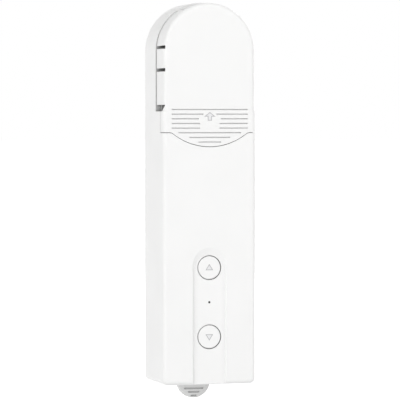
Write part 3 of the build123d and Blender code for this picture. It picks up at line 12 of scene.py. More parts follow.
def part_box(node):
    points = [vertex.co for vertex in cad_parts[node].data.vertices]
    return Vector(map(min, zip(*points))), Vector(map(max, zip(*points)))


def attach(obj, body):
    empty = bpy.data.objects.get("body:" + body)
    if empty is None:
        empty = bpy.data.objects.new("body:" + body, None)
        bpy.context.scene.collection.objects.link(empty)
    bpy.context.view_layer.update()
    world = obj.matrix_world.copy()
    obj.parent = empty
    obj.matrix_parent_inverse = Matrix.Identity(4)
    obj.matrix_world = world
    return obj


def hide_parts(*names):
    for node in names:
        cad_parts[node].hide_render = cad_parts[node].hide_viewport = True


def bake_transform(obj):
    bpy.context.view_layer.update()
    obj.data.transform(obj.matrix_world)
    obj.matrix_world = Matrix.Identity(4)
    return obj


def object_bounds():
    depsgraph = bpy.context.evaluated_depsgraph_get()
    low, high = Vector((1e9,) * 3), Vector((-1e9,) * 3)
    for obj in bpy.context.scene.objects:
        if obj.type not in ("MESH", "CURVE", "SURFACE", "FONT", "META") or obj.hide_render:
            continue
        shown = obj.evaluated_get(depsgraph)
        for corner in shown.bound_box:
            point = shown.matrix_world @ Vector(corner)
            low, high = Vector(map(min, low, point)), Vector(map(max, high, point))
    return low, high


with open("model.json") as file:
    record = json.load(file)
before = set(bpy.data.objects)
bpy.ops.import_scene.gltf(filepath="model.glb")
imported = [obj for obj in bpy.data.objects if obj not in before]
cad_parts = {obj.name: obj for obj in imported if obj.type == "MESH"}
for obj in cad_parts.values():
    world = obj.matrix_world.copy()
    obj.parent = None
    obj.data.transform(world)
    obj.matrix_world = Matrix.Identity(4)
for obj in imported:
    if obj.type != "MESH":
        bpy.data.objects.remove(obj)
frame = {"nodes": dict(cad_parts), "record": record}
frame_low, frame_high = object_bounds()

bl_info = {
    "name": "Shade Motor Looks",
    "version": (1, 0, 0),
    "blender": (4, 5, 0),
    "location": "View3D > Sidebar > Shade Motor",
    "description": "Finishes, signs, screws and small parts of a roller shade motor, and its stage",
    "category": "Object",
}

MM = 0.001
FINISH = "_finish"

body_of_node = {node: body for body, nodes in frame["record"]["behaviour"]["bodies"].items()
                for node in nodes}
slot_of_node = {row["node"]: row["material_slot"] for row in frame["record"]["subparts"]}
colour_of_slot = {row["slot"]: tuple(row["base_color"][:3]) for row in frame["record"]["materials"]}

# Places that the frame gives
COVER_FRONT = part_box("top_cover")[0].y
BOARD_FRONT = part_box("main_board")[0].y
CELL_LOW, CELL_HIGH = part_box("battery_cell_left")
ROTOR_LOW, ROTOR_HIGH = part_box("motor_rotor")

# Each kind of screw: the way it points, where its copies sit in the node's box (-1, 0 or 1 across
# and up), and its head radius, head thickness, thread radius, core radius and pitch in millimetres
PAIR = ((-1, 0), (1, 0))
SCREWS = {
    "panel_screws": ("-Y", ((-1, -1), (-1, 1), (1, -1), (1, 1)), 1.9, 1.2, 0.98, 0.74, 0.85),
    "board_screws": ("-Y", ((-1, -1), (1, 1)), 1.9, 1.0, 0.98, 0.74, 0.70),
    "guide_screws": ("+Y", PAIR, 1.9, 1.2, 0.98, 0.74, 0.70),
    "leaf_screw": ("-Y", ((0, 0),), 1.9, 1.2, 0.98, 0.74, 0.70),
    "gearbox_screws": ("-Z", PAIR, 1.9, 1.2, 0.98, 0.78, 0.45),
    "sprocket_screw": ("+Y", ((0, 0),), 3.4, 1.4, 1.23, 0.98, 0.50),
}
# Turn from one screw's recess to the next, so that no two screws stand alike
RECESS_TURN = math.radians(37)
# Shape of every screw. Head and recess are shares of the head's thickness, or of its radius across
HEAD_ROUND = 0.55
RECESS_LENGTH = 1.15
RECESS_WIDTH = 0.30
RECESS_HEIGHT = 0.70
RECESS_MIDDLE = 0.75
RECESS_TAPER = 0.55
CORE_BURY = 0.2
# Point, as shares of the core's radius, and thread, as shares of its pitch
POINT_LENGTH = 0.9
POINT_TAPER = 0.35
TOOTH_HALF = 0.36
TOOTH_SINK = 0.05
THREAD_START = 0.6

# Signs: corners across and up, as shares of the sign's half width, and how deep a sign's underside
# lies in the face that it is printed on
ARROW = ((0, 0), (1, -0.73), (0.36, -0.73), (0.36, -1.4), (-0.36, -1.4), (-0.36, -0.73),
         (-1, -0.73))
TRIANGLE = ((0, 0.95), (1, -0.63), (-1, -0.63))
PRINT_SINK = 0.02 * MM

# Release tab: its grip grooves, each with its height above the tab's lowest point and its half
# length in millimetres, and its other sizes
TAB_GRIPS = ((4.8, 5.1), (3.0, 3.0), (1.15, 1.5))
TAB_DEPTH = 2.8 * MM
TAB_GRIP_WIDTH = 0.8 * MM
TAB_GRIP_DEPTH = 0.55 * MM
TAB_RIM = 0.35 * MM
TAB_SIDES = 96
# The lever's arm is cut off above the tab's top, and comes down again into the tab
ARM_CUT = 0.3 * MM
ARM_REACH = 0.4 * MM
# Less than the step between two points of a CAD mesh
WELD = 0.001 * MM

# Leaf spring: the length that its screw holds flat, and the number of cuts across the rest of it
SPRING_SEAT = 9.0 * MM
SPRING_CUTS = 16

# Chip part 1 mm long: its size, where its soldered ends start, how proud they stand, and its
# middle's place before the board
CHIP_SIZE = (1 * MM, 0.36 * MM, 0.5 * MM)
CHIP_END = 0.28 * MM
CHIP_SOLDER = 0.02 * MM
CHIP_LIFT = 0.17 * MM
# Chip parts on the front of the main board: across, up from the lamp, and length, in millimetres
CHIPS = ((-9.5, 5.2, 2.0), (-9.5, 3.4, 1.6), (-9.5, 1.8, 1.6), (-6.2, 5.2, 1.0), (-6.2, 3.9, 1.0),
         (-6.2, 2.6, 1.0), (-3.4, 3.6, 1.0), (3.2, 3.8, 1.6), (3.2, 2.2, 1.6), (6.6, 4.6, 1.0),
         (6.6, 3.4, 1.0), (6.6, 2.2, 1.0), (10.2, 4.4, 2.0), (10.2, 2.2, 2.0), (-8.6, -4.4, 1.6),
         (-5.4, -4.4, 1.6), (5.6, -4.2, 1.0), (8.4, -4.2, 1.6))

# Cell's sleeve: its upper edge and the lower edge of its white ring, both below the cell's top,
# its lower edge above the cell's foot, and how far each edge fades
SLEEVE_TOP = 1.02 * MM
RING_BOTTOM = 1.60 * MM
SLEEVE_FOOT = 0.10 * MM
SLEEVE_FADE = 0.02 * MM
# Radius of the rotor's shaft
SHAFT_RADIUS = 1.0 * MM

# Colours that show through a finish
TINNED_PAD = (0.66, 0.65, 0.62)
CELL_RING = (0.82, 0.82, 0.80)
CELL_STEEL = (0.62, 0.61, 0.58)
SHAFT_STEEL = (0.66, 0.66, 0.67)
PHOSPHOR = (0.88, 0.72, 0.18)

# Plain finishes that take their colour from the record, with what sets each apart. gap is the
# tone of painted shade in gaps, and the edge tone lightens edges, partly as wear and partly as a
# painted highlight
PLASTICS = {
    "sprocket_plastic": {"roughness": 0.34, "grains": 1500.0, "grain_depth": 0.006, "cloud": 0.95,
                         "gap": 0.6, "worn": 1.08},
    "guide_plastic": {"roughness": 0.36, "grains": 1500.0, "grain_depth": 0.006, "cloud": 1.15,
                      "gap": 0.6, "worn": 1.5},
    "gear_plastic": {"roughness": 0.30, "grains": 1500.0, "grain_depth": 0.005, "cloud": 0.93,
                     "gap": 0.55, "worn": 1.12, "rounding": 0.12},
    "dark_plastic": {"roughness": 0.52, "cloud": 1.3, "gap": 0.5, "worn": 2.2, "rounding": 0.15},
    "component_black": {"roughness": 0.44, "cloud": 1.25, "gap": 0.5, "worn": 1.9,
                        "rounding": 0.1},
}
METALS = {
    "pinion_brass": {"roughness": 0.26, "stretch": (200.0, 200.0, 9000.0)},
    "ground_steel": {"roughness": 0.20, "stretch": (3000.0, 12000.0, 3000.0)},
    "screw_steel": {"roughness": 0.30, "stretch": (4000.0, 4000.0, 4000.0), "worn": 1.3},
    "spring_steel": {"roughness": 0.27, "stretch": (7000.0, 7000.0, 150.0)},
    "gearbox_steel": {"roughness": 0.44, "stretch": (2200.0, 2200.0, 2200.0), "mark_depth": 0.012},
    "motor_can_steel": {"roughness": 0.28, "stretch": (6000.0, 6000.0, 120.0)},
    "plate_steel": {"roughness": 0.33, "stretch": (180.0, 7000.0, 7000.0)},
    "contact_nickel": {"roughness": 0.24, "stretch": (5000.0, 160.0, 5000.0)},
}

# Painted shade: slowly deepening beside a wall, and deep inside the body
CONTACT_SHADE = {"reach": 3.0 * MM, "open": 0.97, "shut": 0.45}
HOLLOW_SHADE = {"reach": 45.0 * MM, "open": 0.20, "shut": 0.05}

# Stage: the point that the camera looks at, the floor's own light, and each lamp with the setting
# that holds its level and the way to it
CAMERA_TARGET = Vector((-0.06, -18.0, -3.65)) * MM
SENSOR_WIDTH = 36
NEAR_CLIP = 0.01
FLOOR_SIZE = 40
FLOOR_WHITE = (0.9, 0.9, 0.9, 1)
FLOOR_GLOW = 0.64
PURE_WHITE = (1, 1, 1, 1)
LAMPS = (("side_lamp", "side_level", (-0.87, -0.50, 0.0)),
         ("rear_side_lamp", "rear_side_level", (-0.80, 0.55, -0.10)),
         ("front_lamp", "front_level", (0.32, -0.74, 0.60)),
         ("back_lamp", "back_level", (0.60, 0.75, 0.28)))
LAMP_DISTANCE = 2.0
LAMP_SIZE = 1.2


class MotorFinishes(bpy.types.PropertyGroup):
    """Colours and surface detail of the moulded case"""
    case_white: bpy.props.FloatVectorProperty(
        name="Case white", description="Colour of the housing, cover and buttons", subtype="COLOR",
        size=3, min=0.0, max=1.0, default=(0.93, 0.93, 0.925))
    tab_grey: bpy.props.FloatVectorProperty(
        name="Tab grey", description="Colour of the release tab", subtype="COLOR", size=3,
        min=0.0, max=1.0, default=(0.78, 0.78, 0.775))
    rounding: bpy.props.FloatProperty(
        name="Edge rounding", description="Radius that the shading gives to sharp moulded edges",
        default=0.12 * MM, unit="LENGTH", subtype="DISTANCE")
    # Reach of the painted shade in the case's gaps and grooves
    painted_shade_reach: bpy.props.FloatProperty(
        name="Recess reach", description="How near two walls must be for the gap to look darker",
        default=1.1 * MM, unit="LENGTH", subtype="DISTANCE")


class MotorSigns(bpy.types.PropertyGroup):
    """Sizes and tone of the printed signs"""
    ink: bpy.props.FloatVectorProperty(
        name="Ink", description="Colour of the printed outlines", subtype="COLOR", size=3,
        min=0.0, max=1.0, default=(0.54, 0.54, 0.55))
    pale_ink: bpy.props.FloatVectorProperty(
        name="Pale ink", description="Colour inside the printed outlines", subtype="COLOR", size=3,
        min=0.0, max=1.0, default=(0.84, 0.84, 0.85))
    thickness: bpy.props.FloatProperty(
        name="Print thickness", description="How far a sign stands proud of its surface",
        default=0.03 * MM, unit="LENGTH", subtype="DISTANCE")
    outline: bpy.props.FloatProperty(
        name="Outline", description="Width of a printed outline",
        default=0.38 * MM, unit="LENGTH", subtype="DISTANCE")
    arrow_top: bpy.props.FloatProperty(
        name="Arrow top", description="Height of the arrow's tip above the origin",
        default=40.4 * MM, unit="LENGTH", subtype="DISTANCE")
    arrow_half: bpy.props.FloatProperty(
        name="Arrow half width", description="Half the width of the arrow's head",
        default=3.0 * MM, unit="LENGTH", subtype="DISTANCE")
    triangle_half: bpy.props.FloatProperty(
        name="Triangle half width", description="Half the base of a button's triangle",
        default=2.0 * MM, unit="LENGTH", subtype="DISTANCE")


class MotorStage(bpy.types.PropertyGroup):
    """Camera, floor and light"""
    azimuth: bpy.props.FloatProperty(
        name="Azimuth", description="Camera's turn round the object, 0 looks along +Y",
        default=math.radians(-16.47), unit="ROTATION", subtype="ANGLE")
    elevation: bpy.props.FloatProperty(
        name="Elevation", description="Camera's angle above the horizon",
        default=math.radians(1.80), unit="ROTATION", subtype="ANGLE")
    distance: bpy.props.FloatProperty(
        name="Distance", description="From the camera to its target",
        default=1352.8 * MM, unit="LENGTH", subtype="DISTANCE")
    lens: bpy.props.FloatProperty(
        name="Lens", description="Focal length in millimetres on a 36 mm sensor", default=242.54)
    floor_drop: bpy.props.FloatProperty(
        name="Floor drop", description="How far the floor lies below the object",
        default=60 * MM, unit="LENGTH", subtype="DISTANCE")
    sky: bpy.props.FloatProperty(
        name="Sky", description="Strength of the even light from all round", default=0.42)
    side_level: bpy.props.FloatProperty(
        name="Side lamp", description="Light of the left lamp, as a share of white", default=0.51)
    rear_side_level: bpy.props.FloatProperty(
        name="Rear side lamp", default=0.22,
        description="Light of the lamp behind the left side, as a share of white")
    front_level: bpy.props.FloatProperty(
        name="Front lamp", description="Light of the front lamp, as a share of white",
        default=0.415)
    back_level: bpy.props.FloatProperty(
        name="Back lamp", description="Light of the back lamp, as a share of white", default=0.30)


# Modelling helpers

def deselect():
    bpy.ops.object.select_all(action="DESELECT")


def select_only(*pieces):
    deselect()
    for piece in pieces:
        piece.select_set(True)
    bpy.context.view_layer.objects.active = pieces[0]


def start_piece(name):
    """Names the primitive that was just added and bakes its place into its mesh."""
    piece = bpy.context.object
    piece.name = name
    piece.data.name = name
    bpy.ops.object.transform_apply(location=True, rotation=True, scale=True)
    return piece


def pick(piece, kind, test):
    """Selects the faces or edges whose middle and normal pass the test, in edit mode."""
    mesh = bmesh.from_edit_mesh(piece.data)
    for element in (*mesh.verts, *mesh.edges, *mesh.faces):
        element.select = False
    if kind == "FACE":
        chosen = [face for face in mesh.faces if test(face.calc_center_median(), face.normal)]
    else:
        chosen = [edge for edge in mesh.edges
                  if test((edge.verts[0].co + edge.verts[1].co) / 2,
                          (edge.verts[1].co - edge.verts[0].co).normalized())]
    bpy.ops.mesh.select_mode(type=kind)
    for element in chosen:
        element.select = True
    mesh.select_flush_mode()
    bmesh.update_edit_mesh(piece.data)


def edit(piece):
    select_only(piece)
    bpy.ops.object.mode_set(mode="EDIT")


def leave_edit():
    bpy.ops.object.mode_set(mode="OBJECT")


def join(name, *pieces):
    """Joins pieces into the first one and names it."""
    select_only(*pieces)
    if len(pieces) > 1:
        bpy.ops.object.join()
    pieces[0].name = name
    pieces[0].data.name = name
    return pieces[0]


def copy_of_node(node, name):
    """A merged copy of a CAD node's mesh, with no material, left in edit mode."""
    piece = bpy.data.objects.new(name, frame["nodes"][node].data.copy())
    piece.data.name = name
    bpy.context.collection.objects.link(piece)
    piece.data.materials.clear()
    select_only(piece)
    bpy.ops.mesh.customdata_custom_splitnormals_clear()
    edit(piece)
    bpy.ops.mesh.select_all(action="SELECT")
    bpy.ops.mesh.remove_doubles(threshold=WELD)
    return piece


def copy_to(piece, matrix):
    """A copy of a piece with its own mesh, moved by a matrix that goes into the mesh."""
    select_only(piece)
    bpy.ops.object.duplicate()
    copy = bpy.context.object
    copy.matrix_world = matrix
    bpy.ops.object.transform_apply(location=True, rotation=True, scale=True)
    return copy


def discard(piece):
    select_only(piece)
    bpy.ops.object.delete()


def apply_modifier(piece, kind, **settings):
    select_only(piece)
    modifier = piece.modifiers.new(kind.title(), kind)
    for key, value in settings.items():
        setattr(modifier, key, value)
    bpy.ops.object.modifier_apply(modifier=modifier.name)


def combine(piece, operation, tool):
    """Cuts a tool out of a piece, or fuses it on, and deletes the tool."""
    apply_modifier(piece, "BOOLEAN", operation=operation, solver="EXACT", object=tool)
    discard(tool)


def dress_piece(piece, slot, *materials, angle=30.0):
    """Shades a piece and gives it its materials."""
    select_only(piece)
    bpy.ops.object.shade_smooth_by_angle(angle=math.radians(angle))
    if not piece.data.materials:
        for material in materials:
            piece.data.materials.append(material)


def finish_piece(piece, body, slot, *materials, angle=30.0):
    """Dresses a piece and lets it ride on its body."""
    dress_piece(piece, slot, *materials, angle=angle)
    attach(piece, body)


# Shader helpers

def add(tree, kind, inputs=None, **settings):
    """Adds a node. An input's value is a number or colour, or the socket that feeds it."""
    made = tree.nodes.new(kind)
    for key, value in settings.items():
        setattr(made, key, value)
    for key, value in (inputs or {}).items():
        if isinstance(value, bpy.types.NodeSocket):
            tree.links.new(value, made.inputs[key])
        else:
            made.inputs[key].default_value = value
    return made


def math_node(tree, operation, first, second=0.0, clamp=False):
    return add(tree, "ShaderNodeMath", {0: first, 1: second}, operation=operation,
               use_clamp=clamp).outputs[0]


def spread(tree, value, low, high, to_low=0.0, to_high=1.0):
    """Maps low..high to to_low..to_high, held at both ends."""
    return add(tree, "ShaderNodeMapRange",
               {"Value": value, "From Min": low, "From Max": high, "To Min": to_low,
                "To Max": to_high}).outputs[0]


def mix_colour(tree, factor, first, second):
    made = tree.nodes.new("ShaderNodeMix")
    made.data_type = "RGBA"
    # Inputs 0, 6 and 7 and output 2 are the node's sockets for colours
    for number, value in ((0, factor), (6, first), (7, second)):
        socket = made.inputs[number]
        if isinstance(value, bpy.types.NodeSocket):
            tree.links.new(value, socket)
        elif isinstance(value, float):
            socket.default_value = value
        else:
            socket.default_value = (*value, 1)
    return made.outputs[2]


def darken(tree, factor, colour, tone):
    """Multiplies a colour by a tone, as far as the factor says."""
    mixed = mix_colour(tree, factor, colour, (tone, tone, tone))
    mixed.node.blend_type = "MULTIPLY"
    return mixed


def shade(colour, level):
    """A colour made darker or lighter, and never brighter than white."""
    return tuple(min(1.0, part * level) for part in colour)


def shader_group(name, inputs, outputs):
    """A new node group with its sockets, and its two ends."""
    tree = bpy.data.node_groups.new(name, "ShaderNodeTree")
    for label, kind, default in inputs:
        socket = tree.interface.new_socket(name=label, in_out="INPUT", socket_type=kind)
        socket.default_value = default
    for label, kind in outputs:
        tree.interface.new_socket(name=label, in_out="OUTPUT", socket_type=kind)
    return tree, tree.nodes.new("NodeGroupInput").outputs, tree.nodes.new("NodeGroupOutput").inputs


def seen_directly(tree):
    """1 for a ray from the camera, a mirror or a pane, and 0 for one that lights a surface."""
    ray = add(tree, "ShaderNodeLightPath").outputs
    straight = math_node(tree, "MAXIMUM", ray["Is Camera Ray"], ray["Is Glossy Ray"])
    return math_node(tree, "MAXIMUM", straight, ray["Is Transmission Ray"])


def object_place(tree):
    return add(tree, "ShaderNodeTexCoord").outputs["Object"]


def place_parts(tree, vector):
    return add(tree, "ShaderNodeSeparateXYZ", {0: vector}).outputs


NUMBER = "NodeSocketFloat"
VECTOR = "NodeSocketVector"


def build_surface_grain():
    """Fine texture of a mould or casting, and slow clouds over it."""
    tree, given, out = shader_group(
        "surface_grain", [("Grains", NUMBER, 2600.0), ("Clouds", NUMBER, 45.0)],
        [("Height", NUMBER), ("Cloud", NUMBER)])
    place = object_place(tree)
    fine = add(tree, "ShaderNodeTexNoise",
               {"Vector": place, "Scale": given["Grains"], "Detail": 3.0, "Roughness": 0.6})
    cloud = add(tree, "ShaderNodeTexNoise",
                {"Vector": place, "Scale": given["Clouds"], "Detail": 2.0, "Roughness": 0.45})
    tree.links.new(fine.outputs[0], out["Height"])
    tree.links.new(spread(tree, cloud.outputs[0], 0.3, 0.7), out["Cloud"])
    return tree


def build_edge_wear_and_highlight():
    """Where an edge is rubbed, which the finishes lighten partly as wear and partly as a painted
    highlight, and the normal that rounds it off.
    """
    tree, given, out = shader_group(
        "edge_wear", [("Rounding", NUMBER, 0.25 * MM), ("Breaks", NUMBER, 220.0)],
        [("Edge", NUMBER), ("Normal", VECTOR)])
    rounded = add(tree, "ShaderNodeBevel", {"Radius": given["Rounding"]}, samples=4).outputs[0]
    flat = add(tree, "ShaderNodeNewGeometry").outputs["Normal"]
    agree = add(tree, "ShaderNodeVectorMath", {0: rounded, 1: flat}, operation="DOT_PRODUCT")
    turned = spread(tree, agree.outputs["Value"], 0.995, 0.80)
    broken = add(tree, "ShaderNodeTexNoise",
                 {"Vector": object_place(tree), "Scale": given["Breaks"], "Detail": 4.0})
    worn = spread(tree, broken.outputs[0], 0.40, 0.62)
    tree.links.new(math_node(tree, "MULTIPLY", turned, worn), out["Edge"])
    tree.links.new(rounded, out["Normal"])
    return tree


def build_recess_shade():
    """How far a point sits down in a groove, a gap or a hollow, from ambient occlusion; the
    finishes paint shade by it.
    """
    tree, given, out = shader_group(
        "recess_shade",
        [("Reach", NUMBER, 1.1 * MM), ("Open", NUMBER, 0.92), ("Shut", NUMBER, 0.30)],
        [("Depth", NUMBER)])
    sky = add(tree, "ShaderNodeAmbientOcclusion", {"Distance": given["Reach"]}, samples=8)
    tree.links.new(spread(tree, sky.outputs["AO"], given["Open"], given["Shut"]), out["Depth"])
    return tree


def build_scuffs():
    """Fine rub marks in a few places."""
    tree, given, out = shader_group("scuffs", [("Scale", NUMBER, 60.0)], [("Mark", NUMBER)])
    place = object_place(tree)
    drawn = add(tree, "ShaderNodeVectorMath", {0: place, 1: (22.0, 22.0, 1.6)},
                operation="MULTIPLY").outputs[0]
    line = add(tree, "ShaderNodeTexNoise",
               {"Vector": drawn, "Scale": given["Scale"], "Detail": 5.0, "Distortion": 0.4})
    region = add(tree, "ShaderNodeTexNoise", {"Vector": place, "Scale": given["Scale"]})
    tree.links.new(
        math_node(tree, "MULTIPLY", spread(tree, line.outputs[0], 0.60, 0.70),
                  spread(tree, region.outputs[0], 0.52, 0.66)), out["Mark"])
    return tree


def build_tool_marks():
    """Fine lines that a roller, die or grinding wheel leaves, longest along the least stretch."""
    tree, given, out = shader_group(
        "tool_marks", [("Stretch", VECTOR, (9000.0, 9000.0, 200.0))], [("Line", NUMBER)])
    drawn = add(tree, "ShaderNodeVectorMath", {0: object_place(tree), 1: given["Stretch"]},
                operation="MULTIPLY").outputs[0]
    line = add(tree, "ShaderNodeTexNoise", {"Vector": drawn, "Scale": 1.0, "Detail": 3.0})
    tree.links.new(line.outputs[0], out["Line"])
    return tree


def effect(tree, name, **values):
    """Places a shared effect in a material with its own values, and gives its outputs."""
    made = tree.nodes.new("ShaderNodeGroup")
    made.node_tree = bpy.data.node_groups[name]
    for key, value in values.items():
        made.inputs[key.title()].default_value = value
    return made.outputs


def new_material(name):
    """A material, its tree and its Principled shader, ready to be wired. Its name has an ending,
    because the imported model's own plain materials have the slots' names."""
    material = bpy.data.materials.new(name + FINISH)
    material.use_nodes = True
    return material, material.node_tree, material.node_tree.nodes["Principled BSDF"]


def finish_called(name):
    return bpy.data.materials[name + FINISH]


def moulded_plastic(name, colour, roughness=0.48, grains=2600.0, grain_depth=0.012, cloud=0.985,
                    gap=0.62, worn=1.02, reach=1.1, rounding=0.25, coat=0.0, contact=None,
                    hollow=None):
    """Injection-moulded plastic: mould grain, faint clouds, painted shade in gaps, beside walls and
    deep inside the body, and edges lighter from rubbing and from a painted highlight. reach,
    rounding and grain_depth are in millimetres; gap, contact and hollow are tones of painted shade."""
    material, tree, shader = new_material(name)
    grain = effect(tree, "surface_grain", grains=grains)
    edge = effect(tree, "edge_wear", rounding=rounding * MM)
    recess = effect(tree, "recess_shade", reach=reach * MM)
    marks = effect(tree, "scuffs")
    base = mix_colour(tree, grain["Cloud"], colour, shade(colour, cloud))
    # Edges lighter, partly rubbed wear and partly a painted highlight
    base = mix_colour(tree, math_node(tree, "MULTIPLY", edge["Edge"], 0.7), base,
                      shade(colour, worn))
    # Painted shade in gaps and grooves, then beside walls and deep inside the body
    base = darken(tree, recess["Depth"], base, gap)
    for tone, how in ((contact, CONTACT_SHADE), (hollow, HOLLOW_SHADE)):
        if tone:
            base = darken(tree, effect(tree, "recess_shade", **how)["Depth"], base, tone)
    tree.links.new(base, shader.inputs["Base Color"])
    polish = math_node(tree, "MULTIPLY", edge["Edge"], -0.12)
    rub = math_node(tree, "MULTIPLY", marks["Mark"], 0.14)
    uneven = spread(tree, grain["Cloud"], 0.0, 1.0, roughness - 0.04, roughness + 0.04)
    tree.links.new(math_node(tree, "ADD", math_node(tree, "ADD", uneven, polish), rub, clamp=True),
                   shader.inputs["Roughness"])
    bump = add(tree, "ShaderNodeBump",
               {"Height": grain["Height"], "Distance": grain_depth * MM, "Strength": 1.0,
                "Normal": edge["Normal"]})
    tree.links.new(bump.outputs[0], shader.inputs["Normal"])
    shader.inputs["IOR"].default_value = 1.5
    if coat:
        shader.inputs["Coat Weight"].default_value = coat
        shader.inputs["Coat Roughness"].default_value = 0.12
    return material


def bare_metal(name, colour, roughness, stretch=(9000.0, 9000.0, 200.0), mark_depth=0.004,
               dull=0.72, worn=1.15, grains=900.0, rounding=0.12):
    """Worked metal: tool marks, dull clouds, painted shade in gaps, and edges brightened by wear
    and by a painted highlight. mark_depth and rounding are in millimetres."""
    material, tree, shader = new_material(name)
    marks = effect(tree, "tool_marks", stretch=stretch)
    grain = effect(tree, "surface_grain", grains=grains, clouds=160.0)
    edge = effect(tree, "edge_wear", rounding=rounding * MM, breaks=500.0)
    recess = effect(tree, "recess_shade", reach=0.7 * MM)
    line = spread(tree, marks["Line"], 0.35, 0.65)
    base = mix_colour(tree, line, shade(colour, 0.94), shade(colour, 1.04))
    base = mix_colour(tree, math_node(tree, "MULTIPLY", grain["Cloud"], 0.45), base,
                      shade(colour, dull))
    # Painted shade in gaps
    base = mix_colour(tree, recess["Depth"], base, shade(colour, 0.45))
    # Edges brighter, partly worn bright and partly a painted highlight
    base = mix_colour(tree, edge["Edge"], base, shade(colour, worn))
    tree.links.new(base, shader.inputs["Base Color"])
    shader.inputs["Metallic"].default_value = 1.0
    uneven = spread(tree, grain["Cloud"], 0.0, 1.0, roughness - 0.05, roughness + 0.12)
    lined = math_node(tree, "MULTIPLY", line, 0.08)
    tree.links.new(math_node(tree, "ADD", uneven, lined, clamp=True), shader.inputs["Roughness"])
    bump = add(tree, "ShaderNodeBump",
               {"Height": marks["Line"], "Distance": mark_depth * MM, "Strength": 1.0,
                "Normal": edge["Normal"]})
    tree.links.new(bump.outputs[0], shader.inputs["Normal"])
    return material


def recolour(material, factor, colour):
    """Lays a colour over a finish where the factor says."""
    tree = material.node_tree
    shader = tree.nodes["Principled BSDF"]
    under = shader.inputs["Base Color"].links[0].from_socket
    tree.links.new(mix_colour(tree, factor, under, colour), shader.inputs["Base Color"])


def make_metallic(material, factor):
    tree = material.node_tree
    tree.links.new(factor, tree.nodes["Principled BSDF"].inputs["Metallic"])


def pore_mask(tree, scale, low, high):
    """Small round dots on an even scatter."""
    dots = add(tree, "ShaderNodeTexVoronoi", {"Vector": object_place(tree), "Scale": scale})
    return spread(tree, dots.outputs["Distance"], high, low)


def sintered_bronze(name, colour):
    """Pressed bronze powder, with oil in its pores."""
    material = bare_metal(name, colour, 0.46, stretch=(2600.0, 2600.0, 2600.0), mark_depth=0.01)
    recolour(material, pore_mask(material.node_tree, 3200.0, 0.10, 0.30), shade(colour, 0.4))
    return material


def sintered_ferrite(name, colour):
    """Black magnet ceramic, grey where it was ground."""
    material = moulded_plastic(name, colour, roughness=0.62, grains=3800.0, grain_depth=0.02,
                               cloud=1.5, gap=0.5, worn=2.2, rounding=0.12)
    recolour(material, pore_mask(material.node_tree, 2400.0, 0.08, 0.2), shade(colour, 2.4))
    return material


def tinned_sheet(name, colour):
    """Tin-plated sheet with a faint crystal spangle."""
    material = bare_metal(name, colour, 0.30, stretch=(3000.0, 200.0, 3000.0))
    tree = material.node_tree
    spangle = add(tree, "ShaderNodeTexVoronoi", {"Vector": object_place(tree), "Scale": 700.0})
    crystal = place_parts(tree, spangle.outputs["Color"])[0]
    recolour(material, math_node(tree, "MULTIPLY", crystal, 0.25), shade(colour, 0.7))
    return material


def printed_board(name, colour):
    """Solder mask over copper tracks, with tinned pads."""
    material = moulded_plastic(name, colour, roughness=0.28, grains=5000.0, grain_depth=0.004,
                               cloud=0.85, gap=0.5, worn=1.4, rounding=0.1, coat=0.4)
    tree = material.node_tree
    parts = place_parts(tree, object_place(tree))
    flat = add(tree, "ShaderNodeCombineXYZ", {0: parts["X"], 1: parts["Z"]}).outputs[0]
    tracks = add(tree, "ShaderNodeTexBrick",
                 {"Vector": flat, "Scale": 1.0, "Mortar Size": 0.13 * MM, "Mortar Smooth": 0.1,
                  "Brick Width": 4.6 * MM, "Row Height": 0.9 * MM},
                 offset=0.37, offset_frequency=2, squash=0.6, squash_frequency=3)
    recolour(material, math_node(tree, "MULTIPLY", tracks.outputs["Fac"], 0.55),
             shade(colour, 2.1))
    vias = add(tree, "ShaderNodeTexVoronoi", {"Vector": flat, "Scale": 330.0, "Randomness": 0.55})
    pads = spread(tree, vias.outputs["Distance"], 0.17, 0.13)
    recolour(material, pads, TINNED_PAD)
    make_metallic(material, pads)
    return material


def shrink_wrap(name, colour):
    """Heat-shrunk sleeve on a cell, with bare steel ends, a white ring near the top and a seam."""
    material = moulded_plastic(name, colour, roughness=0.26, grains=700.0, grain_depth=0.03,
                               cloud=0.88, gap=0.5, worn=1.25, rounding=0.3, coat=0.5)
    tree = material.node_tree
    up = place_parts(tree, object_place(tree))["Z"]
    seam = add(tree, "ShaderNodeTexWave", {"Vector": object_place(tree), "Scale": 34.0,
                                           "Distortion": 0.0}, bands_direction="X")
    welt = spread(tree, seam.outputs["Fac"], 0.985, 1.0)
    recolour(material, math_node(tree, "MULTIPLY", welt, 0.5), shade(colour, 0.6))
    top, foot = CELL_HIGH.z - SLEEVE_TOP, CELL_LOW.z + SLEEVE_FOOT
    ring_bottom = CELL_HIGH.z - RING_BOTTOM
    ring = math_node(tree, "MULTIPLY",
                     spread(tree, up, ring_bottom - SLEEVE_FADE, ring_bottom + SLEEVE_FADE),
                     spread(tree, up, top, top - SLEEVE_FADE))
    recolour(material, ring, CELL_RING)
    steel = math_node(tree, "MAXIMUM", spread(tree, up, top, top + SLEEVE_FADE),
                      spread(tree, up, foot + SLEEVE_FADE, foot))
    recolour(material, steel, CELL_STEEL)
    make_metallic(material, steel)
    return material


